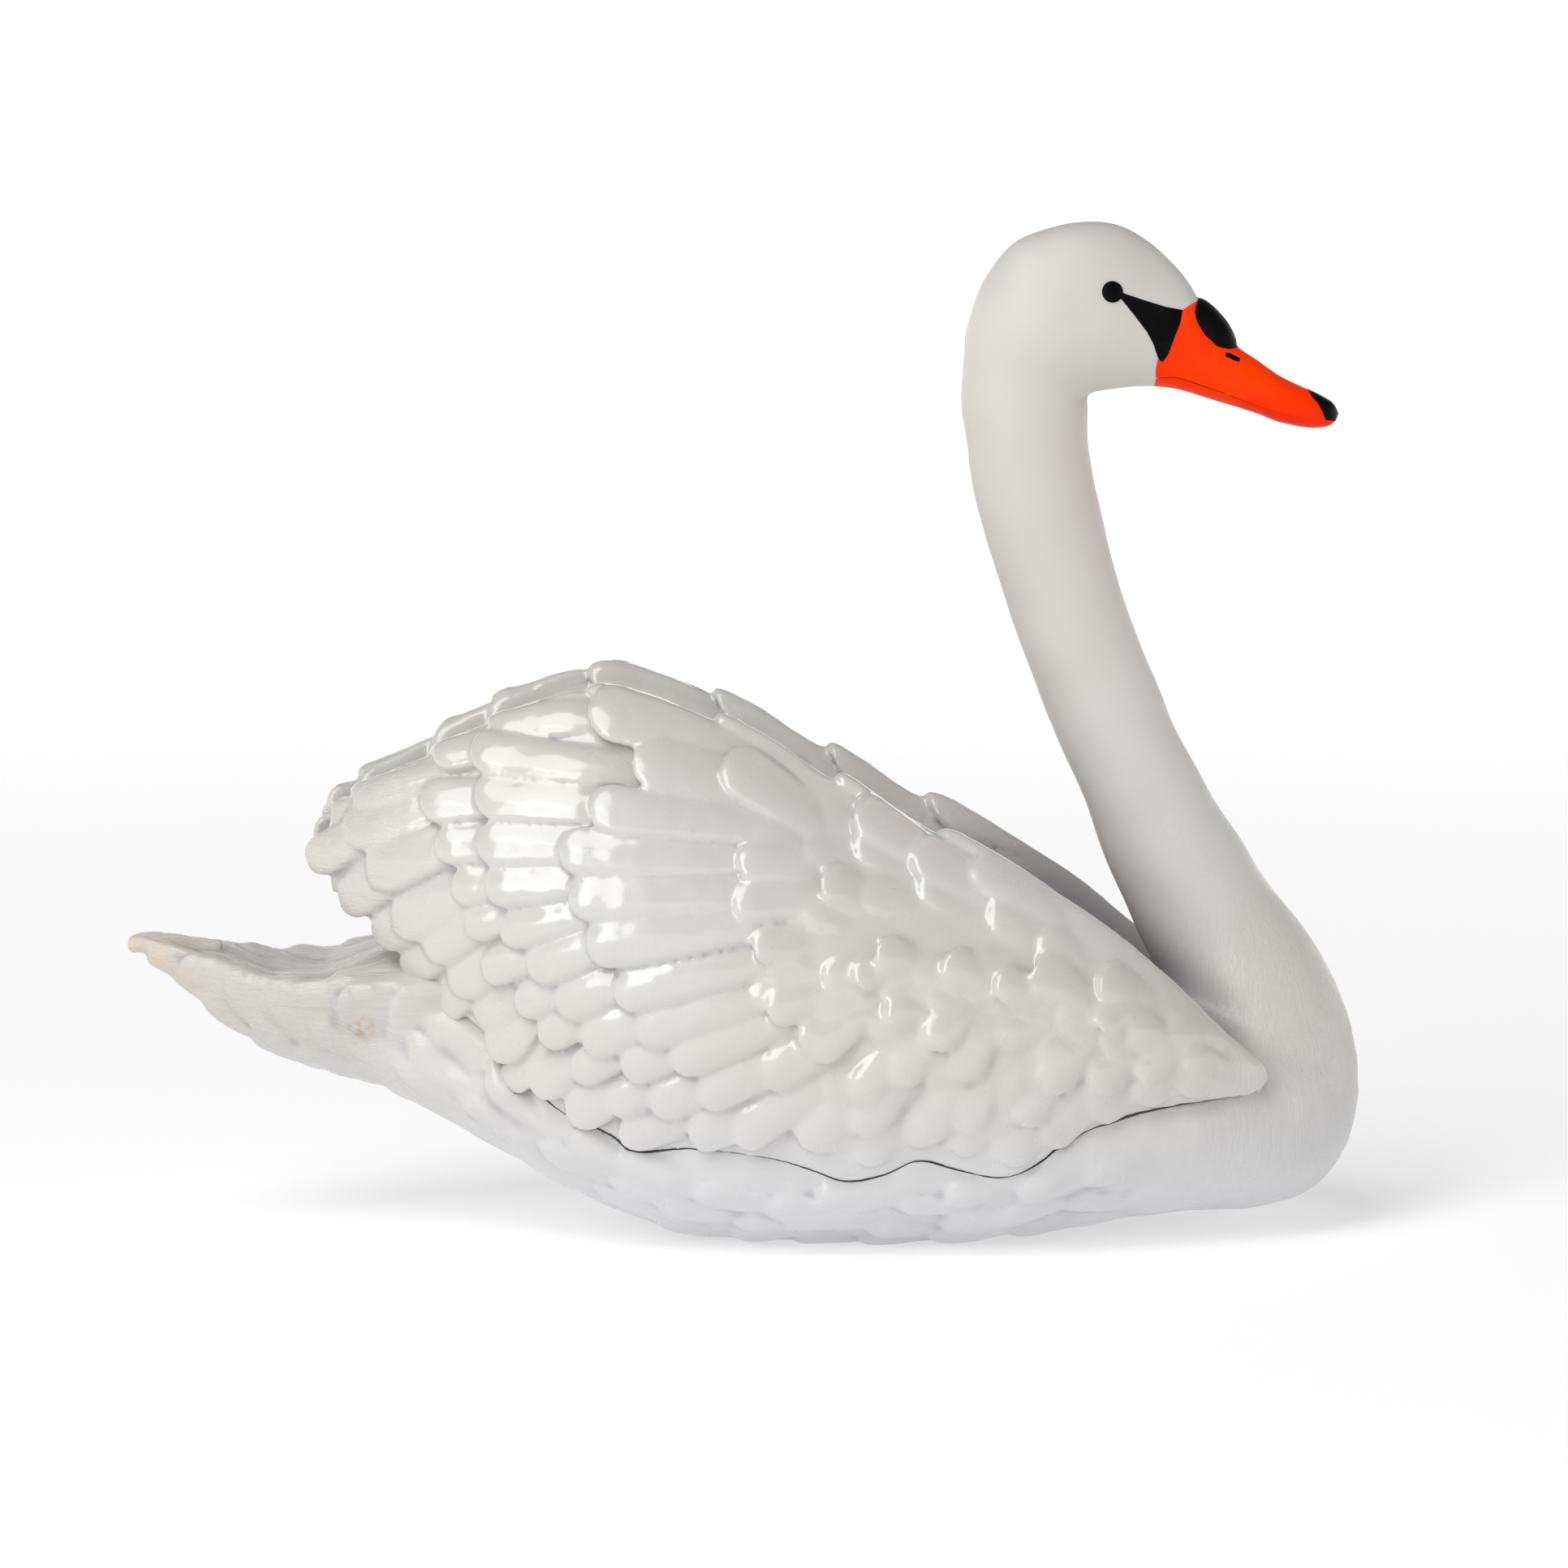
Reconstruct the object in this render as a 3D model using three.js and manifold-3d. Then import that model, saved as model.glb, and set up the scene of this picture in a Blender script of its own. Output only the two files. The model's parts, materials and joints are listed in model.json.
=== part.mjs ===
// A moulded mute swan figure at life size. The body, neck, head and tail are one white resin
// shell. Two wing castings fit over its flanks, and the bill, knob and eyes are painted.
// Millimetres. +X is forward, towards the bill, +Y is the swan's left and +Z is up.
// The origin is on the floor, under the middle of the figure's bounding box.
import * as THREE from "three";
import { mergeVertices } from "three/addons/utils/BufferGeometryUtils.js";
import Module from "manifold-3d";

const wasm = await Module();
wasm.setup();

const WHITE = new THREE.MeshStandardMaterial({ color: 0xe4e2df, roughness: 0.28, metalness: 0 });
const ORANGE = new THREE.MeshStandardMaterial({ color: 0xf24a00, roughness: 0.4, metalness: 0 });
const BLACK = new THREE.MeshStandardMaterial({ color: 0x0b0b0c, roughness: 0.3, metalness: 0 });

const GAP = 0.35; // clearance between neighbouring pieces
const FAR = 600; // past the figure on every side

// ---- Driving dimensions -------------------------------------------------------------------

// Sections across X: height of the belly, height of the back, and half-width. The belly runs a
// little below the floor and is cut flat there, so that the figure stands.
const TRUNK = [
  { x: -262, belly: 120, back: 176, half: 74 },
  { x: -240, belly: 96, back: 192, half: 95 },
  { x: -200, belly: 71, back: 203, half: 108 },
  { x: -150, belly: 45, back: 211, half: 124 },
  { x: -90, belly: 14, back: 219, half: 140 },
  { x: -30, belly: -5, back: 225, half: 152 },
  { x: 60, belly: -8, back: 226, half: 160 },
  { x: 150, belly: -7, back: 219, half: 157 },
  { x: 220, belly: 2, back: 207, half: 148 },
  { x: 290, belly: 10, back: 190, half: 132 },
  { x: 345, belly: 12, back: 184, half: 113 },
  { x: 386, belly: 21, back: 168, half: 88 },
  { x: 410, belly: 43, back: 150, half: 62 },
  { x: 421, belly: 71, back: 130, half: 38 },
];
const TRUNK_REAR = [-268, 0, 148];
const BREAST_TIP = [426, 0, 100];
const TRUNK_POWER = 2.5; // superellipse power of the sections

// Neck centreline, half-depth in the plane of symmetry and half-width across it.
const NECK = [
  { x: 368, z: 88, deep: 56, wide: 84 },
  { x: 363, z: 125, deep: 59, wide: 80 },
  { x: 349, z: 161, deep: 55.5, wide: 66 },
  { x: 325, z: 203, deep: 49.5, wide: 51 },
  { x: 293, z: 261, deep: 44, wide: 41 },
  { x: 265, z: 320, deep: 39, wide: 36.5 },
  { x: 240, z: 378, deep: 39, wide: 35 },
  { x: 219, z: 436, deep: 39.5, wide: 34.5 },
  { x: 203, z: 492, deep: 40.5, wide: 34.5 },
  { x: 195, z: 531, deep: 42, wide: 35 },
  { x: 192, z: 566, deep: 44.5, wide: 35 },
  { x: 193, z: 602, deep: 44, wide: 33 },
];
const NECK_CUTS = [0.364, 0.6, 0.83]; // where the neck is parted, as shares of its stations

const HEAD = [
  { x: 153, belly: 575, back: 622, half: 14 },
  { x: 162, belly: 562, back: 647, half: 26 },
  { x: 183, belly: 558, back: 674, half: 36 },
  { x: 208, belly: 563, back: 686, half: 40.5 },
  { x: 233, belly: 572, back: 690, half: 40.5 },
  { x: 256, belly: 576, back: 687.5, half: 37 },
  { x: 277, belly: 577.5, back: 676, half: 31 },
  { x: 294, belly: 577, back: 660.5, half: 26.5 },
  { x: 309, belly: 582, back: 643, half: 21 },
];
const HEAD_REAR = [149, 0, 600];
const HEAD_FRONT = [316, 0, 612];
const HEAD_POWER = 2.15;

const BILL = [
  { x: 270, belly: 578, back: 638, half: 26 },
  { x: 285, belly: 577, back: 640, half: 26 },
  { x: 297, belly: 575, back: 639, half: 25 },
  { x: 310, belly: 571.5, back: 631, half: 23.5 },
  { x: 323, belly: 567.5, back: 615, half: 21.5 },
  { x: 336, belly: 563.5, back: 604.5, half: 20 },
  { x: 350, belly: 559, back: 595.5, half: 19 },
  { x: 368, belly: 552.5, back: 583.5, half: 18.5 },
  { x: 387, belly: 549, back: 574.5, half: 17.5 },
  { x: 398, belly: 549.5, back: 569, half: 13.5 },
  { x: 404, belly: 552, back: 565, half: 7.5 },
];
const BILL_ROOT = [266, 0, 606];
const BILL_TIP = [408, 0, 558];
const BILL_POWER = 2.3;
const LOWER_BILL_INSET = 1.2; // the lower half is that much narrower on each side
// Side views, as x and z: where the face meets the bill, and the gape between its two halves.
const BILL_BASE = [[313, 655], [310, 637], [298, 630.5], [287, 595], [280, 594], [280, 500]];
const GAPE = [[270, 586], [297, 585.5], [311, 580], [333, 569], [358, 559], [384, 553.5], [401, 552.5]];

// Ellipsoids: centre, half-lengths, and the angle by which their long axis dips forward.
const KNOB = { at: [321.5, 0, 620], radii: [20, 14.5, 10.5], pitch: 46 };
const NAIL = { at: [407, 0, 567], radii: [21, 11.5, 10.5], pitch: 38 };
const EYE = { x: 251, z: 644, radius: 6.7, proud: 3 };

// Tail sections: keel under the middle, height of the rim, dished top, and half-width.
const TAIL = [
  { x: -180, keel: 72, rim: 178, top: 198, half: 104 },
  { x: -215, keel: 86, rim: 180, top: 197, half: 108 },
  { x: -250, keel: 102, rim: 181, top: 188, half: 102 },
  { x: -292, keel: 114, rim: 180, top: 170, half: 86 },
  { x: -331, keel: 129, rim: 183, top: 171, half: 65 },
  { x: -362, keel: 150, rim: 191, top: 182, half: 48 },
  { x: -395, keel: 179, rim: 196, top: 193, half: 29 },
  { x: -416, keel: 189, rim: 199, top: 198.5, half: 15 },
];
const TAIL_TIP = [-425.5, 0, 196];
const TAIL_RIM = 2.5; // half the thickness of the tail's rim
const TAIL_CUT_X = -222;

// Wing sections: height of the lower edge, the ridge and the widest level, then the distances
// from the plane of symmetry of the lower edge, the bulge, the ridge and the inner face.
const WING = [
  { x: -314, low: 240, top: 290, mid: 264, edge: 38, bulge: 44, ridge: 32, inner: 27 },
  { x: -266, low: 220, top: 303, mid: 258, edge: 66, bulge: 77, ridge: 44, inner: 33 },
  { x: -218, low: 176, top: 329, mid: 244, edge: 92, bulge: 108, ridge: 56, inner: 35 },
  { x: -167, low: 130, top: 353, mid: 227, edge: 122, bulge: 136, ridge: 62, inner: 34 },
  { x: -106, low: 86, top: 373, mid: 208, edge: 144, bulge: 164, ridge: 72, inner: 36 },
  { x: -40, low: 72, top: 363, mid: 191, edge: 157, bulge: 181, ridge: 79, inner: 37 },
  { x: 38, low: 62, top: 330, mid: 172, edge: 164, bulge: 188, ridge: 88, inner: 40 },
  { x: 110, low: 58, top: 292, mid: 157, edge: 165, bulge: 187, ridge: 102, inner: 48 },
  { x: 180, low: 58, top: 260, mid: 147, edge: 162, bulge: 179, ridge: 115, inner: 62 },
  { x: 230, low: 80, top: 232, mid: 142, edge: 154, bulge: 168, ridge: 118, inner: 72 },
  { x: 280, low: 97, top: 192, mid: 135, edge: 143, bulge: 152, ridge: 117, inner: 86 },
  { x: 318, low: 102, top: 155, mid: 124, edge: 131, bulge: 135, ridge: 114, inner: 96 },
  { x: 340, low: 105, top: 131, mid: 117, edge: 121, bulge: 123, ridge: 112, inner: 103 },
];
const WING_FRONT = [353, 115, 114];
const WING_REAR = [-283, 50, 266];
const SHELL_START = 1 / 12; // the casting's own rear end, as a share of the stations

// Rows of long feathers on the outer face, from the ridge to the lower edge. The tips, as x and
// z in the side view, lie on a curve. The heading of a tip turns from level to steeply down.
const FEATHER_ROWS = [
  {
    tips: [[-110, 376], [-176, 356], [-220, 328], [-273, 299], [-303, 261], [-270, 222], [-222, 172], [-164, 112]],
    count: 11, headings: [-14, 52], length: 100, half: 20, thick: 8, lift: 0,
  },
  {
    tips: [[-76, 350], [-142, 332], [-188, 302], [-216, 262], [-198, 212], [-152, 160], [-92, 104]],
    count: 8, headings: [-10, 48], length: 95, half: 21, thick: 7, lift: 5,
  },
];

// ---- Curves and solids ----------------------------------------------------------------------

// Any property of a list of stations at u from 0 to 1, as a Catmull-Rom curve through them all.
function along(stations, key, u) {
  const last = stations.length - 1;
  const at = Math.min(u * last, last - 1e-9);
  const i = Math.floor(at);
  const t = at - i;
  const [a, b, c, d] = [i - 1, i, i + 1, i + 2].map((k) => stations[Math.max(0, Math.min(last, k))][key]);
  return b + 0.5 * t * (c - a + t * (2 * a - 5 * b + 4 * c - d + t * (3 * (b - c) + d - a)));
}

function stationAt(stations, u) {
  const keys = Object.keys(stations[0]);
  return Object.fromEntries(keys.map((key) => [key, along(stations, key, u)]));
}

// A closed solid through rings of points, with a point at each end or a cap where none is given.
function loft(rings, startPole, endPole) {
  const size = rings[0].length;
  const middle = (ring) => ring.reduce((sum, p) => sum.add(p), new THREE.Vector3()).divideScalar(size);
  const start = startPole ? new THREE.Vector3(...startPole) : middle(rings[0]);
  const end = endPole ? new THREE.Vector3(...endPole) : middle(rings[rings.length - 1]);
  const points = [...rings.flat(), start, end].flatMap((p) => [p.x, p.y, p.z]);
  const startAt = rings.length * size;
  const faces = [];
  for (let r = 0; r + 1 < rings.length; r++) {
    for (let k = 0; k < size; k++) {
      const a = r * size + k;
      const b = r * size + ((k + 1) % size);
      faces.push(a, b, b + size, a, b + size, a + size);
    }
  }
  for (let k = 0; k < size; k++) {
    const next = (k + 1) % size;
    faces.push(startAt, next, k, startAt + 1, startAt - size + k, startAt - size + next);
  }
  const geometry = new THREE.BufferGeometry();
  geometry.setAttribute("position", new THREE.Float32BufferAttribute(points, 3));
  geometry.setIndex(faces);
  return solidOf(geometry);
}

function signedVolume(points, triangles) {
  const corner = (i) => new THREE.Vector3().fromArray(points, triangles[i] * 3);
  let sum = 0;
  for (let i = 0; i < triangles.length; i += 3) {
    sum += corner(i).dot(corner(i + 1).cross(corner(i + 2)));
  }
  return sum / 6;
}

// The solid of a closed geometry, turned so that its faces point outwards.
function solidOf(geometry) {
  const bare = geometry.clone();
  bare.deleteAttribute("normal");
  bare.deleteAttribute("uv");
  const merged = mergeVertices(bare, 1e-4);
  const triVerts = new Uint32Array(merged.index.array);
  const vertProperties = merged.attributes.position.array;
  if (signedVolume(vertProperties, triVerts) < 0) triVerts.reverse();
  return new wasm.Manifold(new wasm.Mesh({ numProp: 3, vertProperties, triVerts }));
}

function geometryOf(solid) {
  const mesh = solid.getMesh();
  const geometry = new THREE.BufferGeometry();
  geometry.setAttribute("position", new THREE.BufferAttribute(new Float32Array(mesh.vertProperties), 3));
  geometry.setIndex(new THREE.BufferAttribute(new Uint32Array(mesh.triVerts), 1));
  geometry.computeVertexNormals();
  return geometry;
}

// Points round a superellipse, each as how far out and how far up, from -1 to 1.
function roundPoints(count, power) {
  const swell = (v) => Math.sign(v) * Math.abs(v) ** (2 / power);
  return Array.from({ length: count }, (_, k) => {
    const angle = (k / count) * 2 * Math.PI;
    return [swell(Math.cos(angle)), swell(Math.sin(angle))];
  });
}

const WIDEST_AT = 0.42; // height of the widest level, as a share of a section's height

// A loft of sections across X between two poles, grown on every side by a clearance.
function bodyLoft({ stations, rings, points, power, poles, grow = 0 }) {
  const round = roundPoints(points, power);
  const made = Array.from({ length: rings }, (_, i) => {
    const s = stationAt(stations, i / (rings - 1));
    const widest = s.belly + (s.back - s.belly) * WIDEST_AT;
    return round.map(([out, up]) => {
      const reach = up > 0 ? s.back - widest : widest - s.belly;
      return new THREE.Vector3(s.x, out * (s.half + grow), widest + up * (reach + grow));
    });
  });
  const [rear, front] = poles;
  return loft(made, [rear[0] - grow, rear[1], rear[2]], [front[0] + grow, front[1], front[2]]);
}

function ellipsoid({ at, radii, pitch = 0 }, grow, across, rows) {
  const ball = new THREE.SphereGeometry(1, across, rows);
  ball.scale(radii[0] + grow, radii[1] + grow, radii[2] + grow);
  ball.rotateY(THREE.MathUtils.degToRad(pitch));
  ball.translate(...at);
  return solidOf(ball);
}

// A flat outline in the side view, as x and z, drawn out to both sides of the figure.
function sideBlock(outline, shiftX = 0, shiftZ = 0) {
  const shape = new THREE.Shape(outline.map(([x, z]) => new THREE.Vector2(x, z)));
  const block = new THREE.ExtrudeGeometry(shape, { depth: 2 * FAR, bevelEnabled: false });
  block.rotateX(Math.PI / 2);
  block.translate(shiftX, FAR, shiftZ);
  return solidOf(block);
}

// ---- Body shell: trunk, tail, neck and head ----------------------------------------------------

function trunkSolid(grow = 0) {
  const poles = [TRUNK_REAR, BREAST_TIP];
  return bodyLoft({ stations: TRUNK, rings: 19, points: 24, power: TRUNK_POWER, poles, grow });
}

// A shallow trough that narrows to a blunt tip: a dished top and a keeled under side.
function tailSolid(grow = 0) {
  const rows = 11;
  const across = [-1, -0.75, -0.4, 0, 0.4, 0.75, 1];
  const made = Array.from({ length: rows }, (_, i) => {
    const s = stationAt(TAIL, i / (rows - 1));
    const top = across.map((share) => {
      const z = s.rim + (s.top - s.rim) * (1 - share * share) + TAIL_RIM + grow;
      return new THREE.Vector3(s.x, share * (s.half + grow), z);
    });
    const under = across.map((share) => {
      const z = s.keel + (s.rim - TAIL_RIM - s.keel) * Math.abs(share) ** 2.6 - grow;
      return new THREE.Vector3(s.x, -share * (s.half + grow), z);
    });
    return [...top, ...under];
  });
  return loft(made, undefined, TAIL_TIP);
}

const neckPoint = (u) => new THREE.Vector3(along(NECK, "x", u), 0, along(NECK, "z", u));

// The direction across the neck's depth, which points forward out of the throat.
function neckForward(u) {
  const step = 0.01;
  const way = neckPoint(Math.min(1, u + step)).sub(neckPoint(Math.max(0, u - step))).normalize();
  return new THREE.Vector3(way.z, 0, -way.x);
}

function neckSolid(grow = 0) {
  const rings = 21;
  const round = roundPoints(16, 2);
  const made = Array.from({ length: rings }, (_, i) => {
    const u = i / (rings - 1);
    const forward = neckForward(u).multiplyScalar(along(NECK, "deep", u) + grow);
    const sideways = new THREE.Vector3(0, along(NECK, "wide", u) + grow, 0);
    return round.map(([out, up]) =>
      neckPoint(u).addScaledVector(sideways, out).addScaledVector(forward, up),
    );
  });
  return loft(made);
}

// Everything above a line across the neck, which goes on level behind and ahead of it.
function aboveNeck(u, lift = 0) {
  const reach = along(NECK, "deep", u) + 12;
  const front = neckPoint(u).addScaledVector(neckForward(u), reach);
  const back = neckPoint(u).addScaledVector(neckForward(u), -reach);
  const outline = [[back.x, back.z], [front.x, front.z], [FAR, front.z], [FAR, 2 * FAR], [-FAR, 2 * FAR], [-FAR, back.z]];
  return sideBlock(outline, 0, lift);
}

// ---- Wings -----------------------------------------------------------------------------------------

// The share of the way along the stations at which the curve through them reaches x.
function shareAt(stations, x) {
  let [low, high] = [0, 1];
  for (let i = 0; i < 24; i++) {
    const half = (low + high) / 2;
    if (along(stations, "x", half) < x) low = half;
    else high = half;
  }
  return low;
}

// Distance of the wing's outer face from the plane of symmetry, at height z of a section.
function outerFace(s, z) {
  if (z > s.mid) return s.bulge - (s.bulge - s.ridge) * ((z - s.mid) / (s.top - s.mid)) ** 2;
  return s.bulge - (s.bulge - s.edge) * ((s.mid - z) / (s.mid - s.low)) ** 2;
}

// A wing section: up the outer face to the ridge, and down the inner face.
function wingRing(s, hand) {
  const outside = 10;
  const inside = 4;
  const outer = Array.from({ length: outside }, (_, k) => {
    const z = s.low + (s.top - s.low) * (0.5 - 0.5 * Math.cos((Math.PI * k) / (outside - 1)));
    return new THREE.Vector3(s.x, -hand * outerFace(s, z), z);
  });
  const inner = Array.from({ length: inside }, (_, k) => {
    const share = (k + 1) / (inside + 1);
    const turn = Math.sin((Math.PI / 2) * Math.min(1, share * 1.35));
    const y = s.ridge + (s.inner - s.ridge) * turn;
    return new THREE.Vector3(s.x, -hand * y, s.top - (s.top - s.low) * share);
  });
  return [...outer, ...inner];
}

function wingShell(hand) {
  const rings = Array.from({ length: 15 }, (_, i) => {
    const u = SHELL_START + (1 - SHELL_START) * (i / 14);
    return wingRing(stationAt(WING, u), hand);
  });
  const [rear, front] = [WING_REAR, WING_FRONT].map(([x, y, z]) => [x, -hand * y, z]);
  return loft(rings, rear, front);
}

// A point of the right wing's outer face in the side view, and the direction out of the face.
function onOuterFace(x, z) {
  const at = (u, v) => new THREE.Vector3(u, -outerFace(stationAt(WING, shareAt(WING, u)), v), v);
  const here = at(x, z);
  const forward = at(x + 1, z).sub(here);
  const upward = at(x, z + 1).sub(here);
  return { here, out: new THREE.Vector3().crossVectors(forward, upward).normalize() };
}

// A feather as rings of four points, from its rounded tip to its root, which sinks in the face.
function feather(tip, heading, row, hand) {
  const turn = THREE.MathUtils.degToRad(heading);
  const back = new THREE.Vector2(Math.cos(turn), Math.sin(turn));
  const rings = [0, 0.06, 0.18, 0.6, 1].map((share) => {
    const way = share * row.length;
    const { here, out } = onOuterFace(tip.x + back.x * way, tip.y + back.y * way);
    const round = Math.sin(Math.min(1, (share + 0.02) / 0.2) * (Math.PI / 2));
    const across = new THREE.Vector3(-back.y, 0, back.x);
    across.addScaledVector(out, -across.dot(out)).normalize().multiplyScalar(row.half * round);
    const centre = here.addScaledVector(out, row.lift * (1 - share) - row.thick * share ** 2);
    const over = out.clone().multiplyScalar(row.thick * 0.6 * round);
    const under = out.clone().multiplyScalar(-row.thick * 0.5);
    return [across, over, across.clone().negate(), under].map((v) => {
      const point = v.clone().add(centre);
      return point.setY(point.y * hand);
    });
  });
  return loft(rings);
}

function featherRow(row, hand) {
  const line = new THREE.SplineCurve(row.tips.map(([x, z]) => new THREE.Vector2(x, z)));
  return Array.from({ length: row.count }, (_, i) => {
    const share = i / (row.count - 1);
    const heading = THREE.MathUtils.lerp(...row.headings, share);
    return feather(line.getPointAt(share), heading, row, hand);
  });
}

// One wing casting: hand is 1 for the right wing and -1 for the left one.
function wing(hand, room) {
  const feathers = FEATHER_ROWS.flatMap((row) => featherRow(row, hand));
  return feathers.reduce((whole, next) => whole.add(next), wingShell(hand)).subtract(room);
}

// ---- Cutting the shell into its named parts -----------------------------------------------------

const floor = sideBlock([[-FAR, -FAR], [FAR, -FAR], [FAR, 0], [-FAR, 0]]);
const beforeBase = [...BILL_BASE, [FAR, 500], [FAR, 655]];
const head = bodyLoft({
  stations: HEAD, rings: 14, points: 18, power: HEAD_POWER, poles: [HEAD_REAR, HEAD_FRONT],
});
const shell = trunkSolid()
  .add(tailSolid())
  .add(neckSolid())
  .add(head)
  .subtract(floor)
  .subtract(sideBlock(beforeBase));

const billSide = BILL.map((s) => ({ ...s, half: Math.max(3, s.half - LOWER_BILL_INSET) }));
const billOf = (stations) =>
  bodyLoft({ stations, rings: 15, points: 16, power: BILL_POWER, poles: [BILL_ROOT, BILL_TIP] })
    .intersect(sideBlock(beforeBase, GAP));
const belowGape = [...GAPE, [401, 500], [270, 500]];
const knobRoom = ellipsoid(KNOB, GAP, 14, 9);
const billUpper = billOf(BILL).subtract(sideBlock(belowGape, 0, GAP)).subtract(knobRoom);

function eye(hand, grow) {
  const { half } = stationAt(HEAD, shareAt(HEAD, EYE.x));
  const y = -hand * (half * 0.93 - EYE.radius + EYE.proud);
  const radii = [EYE.radius, EYE.radius, EYE.radius];
  return ellipsoid({ at: [EYE.x, y, EYE.z], radii }, grow, 12, 8);
}

const behindTailCut = [[-FAR, -FAR], [TAIL_CUT_X, -FAR], [TAIL_CUT_X, FAR], [-FAR, FAR]];
const [lowCut, middleCut, headCut] = NECK_CUTS;
const trunkAndTail = shell.subtract(aboveNeck(lowCut));
const wingRoom = trunkSolid(GAP).add(tailSolid(GAP)).add(neckSolid(GAP));

// ---- The figure ----------------------------------------------------------------------------------

const figure = new THREE.Group();

function addPiece(name, solid, material) {
  const mesh = new THREE.Mesh(geometryOf(solid), material);
  mesh.name = name;
  figure.add(mesh);
}

addPiece("trunk", trunkAndTail.subtract(sideBlock(behindTailCut, GAP)), WHITE);
addPiece("tail", trunkAndTail.intersect(sideBlock(behindTailCut)), WHITE);
addPiece("neck_lower", shell.intersect(aboveNeck(lowCut, GAP)).subtract(aboveNeck(middleCut)), WHITE);
addPiece("neck_upper", shell.intersect(aboveNeck(middleCut, GAP)).subtract(aboveNeck(headCut)), WHITE);
addPiece(
  "head",
  shell.intersect(aboveNeck(headCut, GAP)).subtract(eye(1, GAP)).subtract(eye(-1, GAP)).subtract(knobRoom),
  WHITE,
);
addPiece("eye_right", eye(1, 0), BLACK);
addPiece("eye_left", eye(-1, 0), BLACK);
addPiece("bill_upper", billUpper.subtract(ellipsoid(NAIL, GAP, 14, 9)), ORANGE);
addPiece("bill_lower", billOf(billSide).intersect(sideBlock(belowGape)), ORANGE);
addPiece("bill_nail", billUpper.intersect(ellipsoid(NAIL, 0, 14, 9)), BLACK);
addPiece("bill_knob", ellipsoid(KNOB, 0, 14, 9), BLACK);
addPiece("wing_right", wing(1, wingRoom), WHITE);
addPiece("wing_left", wing(-1, wingRoom), WHITE);

export default figure;
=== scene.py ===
# %% [markdown]
# # A life-size moulded swan
#
# The real figure is a hollow resin casting, sprayed with white gloss enamel. The body, neck, head
# and tail come out of one mould. Each wing is a casting of its own, laid over the flank, and a thin
# dark line runs where it meets the body. The bill, the knob, the lores and the eyes are painted.
#
# This lesson builds it in the same order: first the plain forms, then feathers laid on them one by
# one, then a cast taken from each heap of forms, then the paint. Lengths are in millimetres until a
# piece is finished, because a maker thinks in millimetres; the last step turns them into metres.

import json
import math

import bmesh
import bpy
import numpy as np
from mathutils import Matrix, Vector, noise

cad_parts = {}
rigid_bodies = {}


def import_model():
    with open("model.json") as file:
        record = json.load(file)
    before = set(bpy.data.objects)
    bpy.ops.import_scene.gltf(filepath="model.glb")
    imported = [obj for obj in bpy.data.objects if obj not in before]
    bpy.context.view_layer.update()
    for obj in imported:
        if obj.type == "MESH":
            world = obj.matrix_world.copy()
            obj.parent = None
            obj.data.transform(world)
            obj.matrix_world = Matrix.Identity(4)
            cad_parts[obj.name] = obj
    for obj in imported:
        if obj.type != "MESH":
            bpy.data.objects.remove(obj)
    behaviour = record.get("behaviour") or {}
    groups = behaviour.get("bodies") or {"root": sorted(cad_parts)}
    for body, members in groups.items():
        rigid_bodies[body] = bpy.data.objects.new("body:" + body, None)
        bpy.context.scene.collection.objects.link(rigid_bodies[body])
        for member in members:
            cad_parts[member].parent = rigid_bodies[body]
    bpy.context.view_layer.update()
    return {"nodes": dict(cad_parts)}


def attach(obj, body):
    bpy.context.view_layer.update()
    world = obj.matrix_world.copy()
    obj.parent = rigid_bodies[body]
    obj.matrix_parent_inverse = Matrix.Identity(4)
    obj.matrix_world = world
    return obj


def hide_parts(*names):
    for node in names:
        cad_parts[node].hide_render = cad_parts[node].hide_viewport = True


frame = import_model()
MM = 0.001
print("solids in the frame:", ", ".join(sorted(frame["nodes"])))

# %% [markdown]
# ## The camera
#
# A long lens far away keeps the two wings nearly the same size, as the eye does across a garden.
# The camera looks along +Y from the swan's right, a little from above. It is made before anything
# else, so that every later step can be looked at.

# %% Camera
AIM = Vector((0.027, 0.0, 0.3035))
DISTANCE = 4.2
ELEVATION = math.radians(6.5)
SWING = math.radians(1.3)  # towards the tail
FIELD_WIDTH = 1.0819  # width of the picture at the swan, in metres

looking = Vector(
    (
        math.sin(SWING) * math.cos(ELEVATION),
        math.cos(SWING) * math.cos(ELEVATION),
        -math.sin(ELEVATION),
    )
)
camera_data = bpy.data.cameras.new("camera")
camera_data.sensor_width = 36
camera_data.lens = camera_data.sensor_width * DISTANCE / FIELD_WIDTH
camera = bpy.data.objects.new("camera", camera_data)
camera.location = AIM - DISTANCE * looking
camera.rotation_euler = looking.to_track_quat("-Z", "Y").to_euler()
bpy.context.scene.collection.objects.link(camera)
bpy.context.scene.camera = camera
print("lens:", round(camera_data.lens, 1), "mm")

# %% [markdown]
# ## Smooth curves through a few sections
#
# A boat builder sets up a few frames and bends planks over them. The tables below are such frames,
# and `through` bends the planks: it gives many rows on a smooth curve that passes every given row.
# A subdivision surface would be the other way, but it pulls the skin inside its frames.


# %% Curves through rows of numbers
def through(rows, steps=600):
    """Many rows along a Catmull-Rom curve that passes through every given row."""
    rows = np.array(rows, float)
    padded = np.vstack([rows[:1], rows, rows[-1:]])
    at = np.linspace(0, len(rows) - 1 - 1e-9, steps)
    first = at.astype(int)
    t = (at - first)[:, None]
    a, b, c, d = (padded[first + k] for k in range(4))
    return b + 0.5 * t * (c - a + t * (2 * a - 5 * b + 4 * c - d + t * (3 * (b - c) + d - a)))


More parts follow.
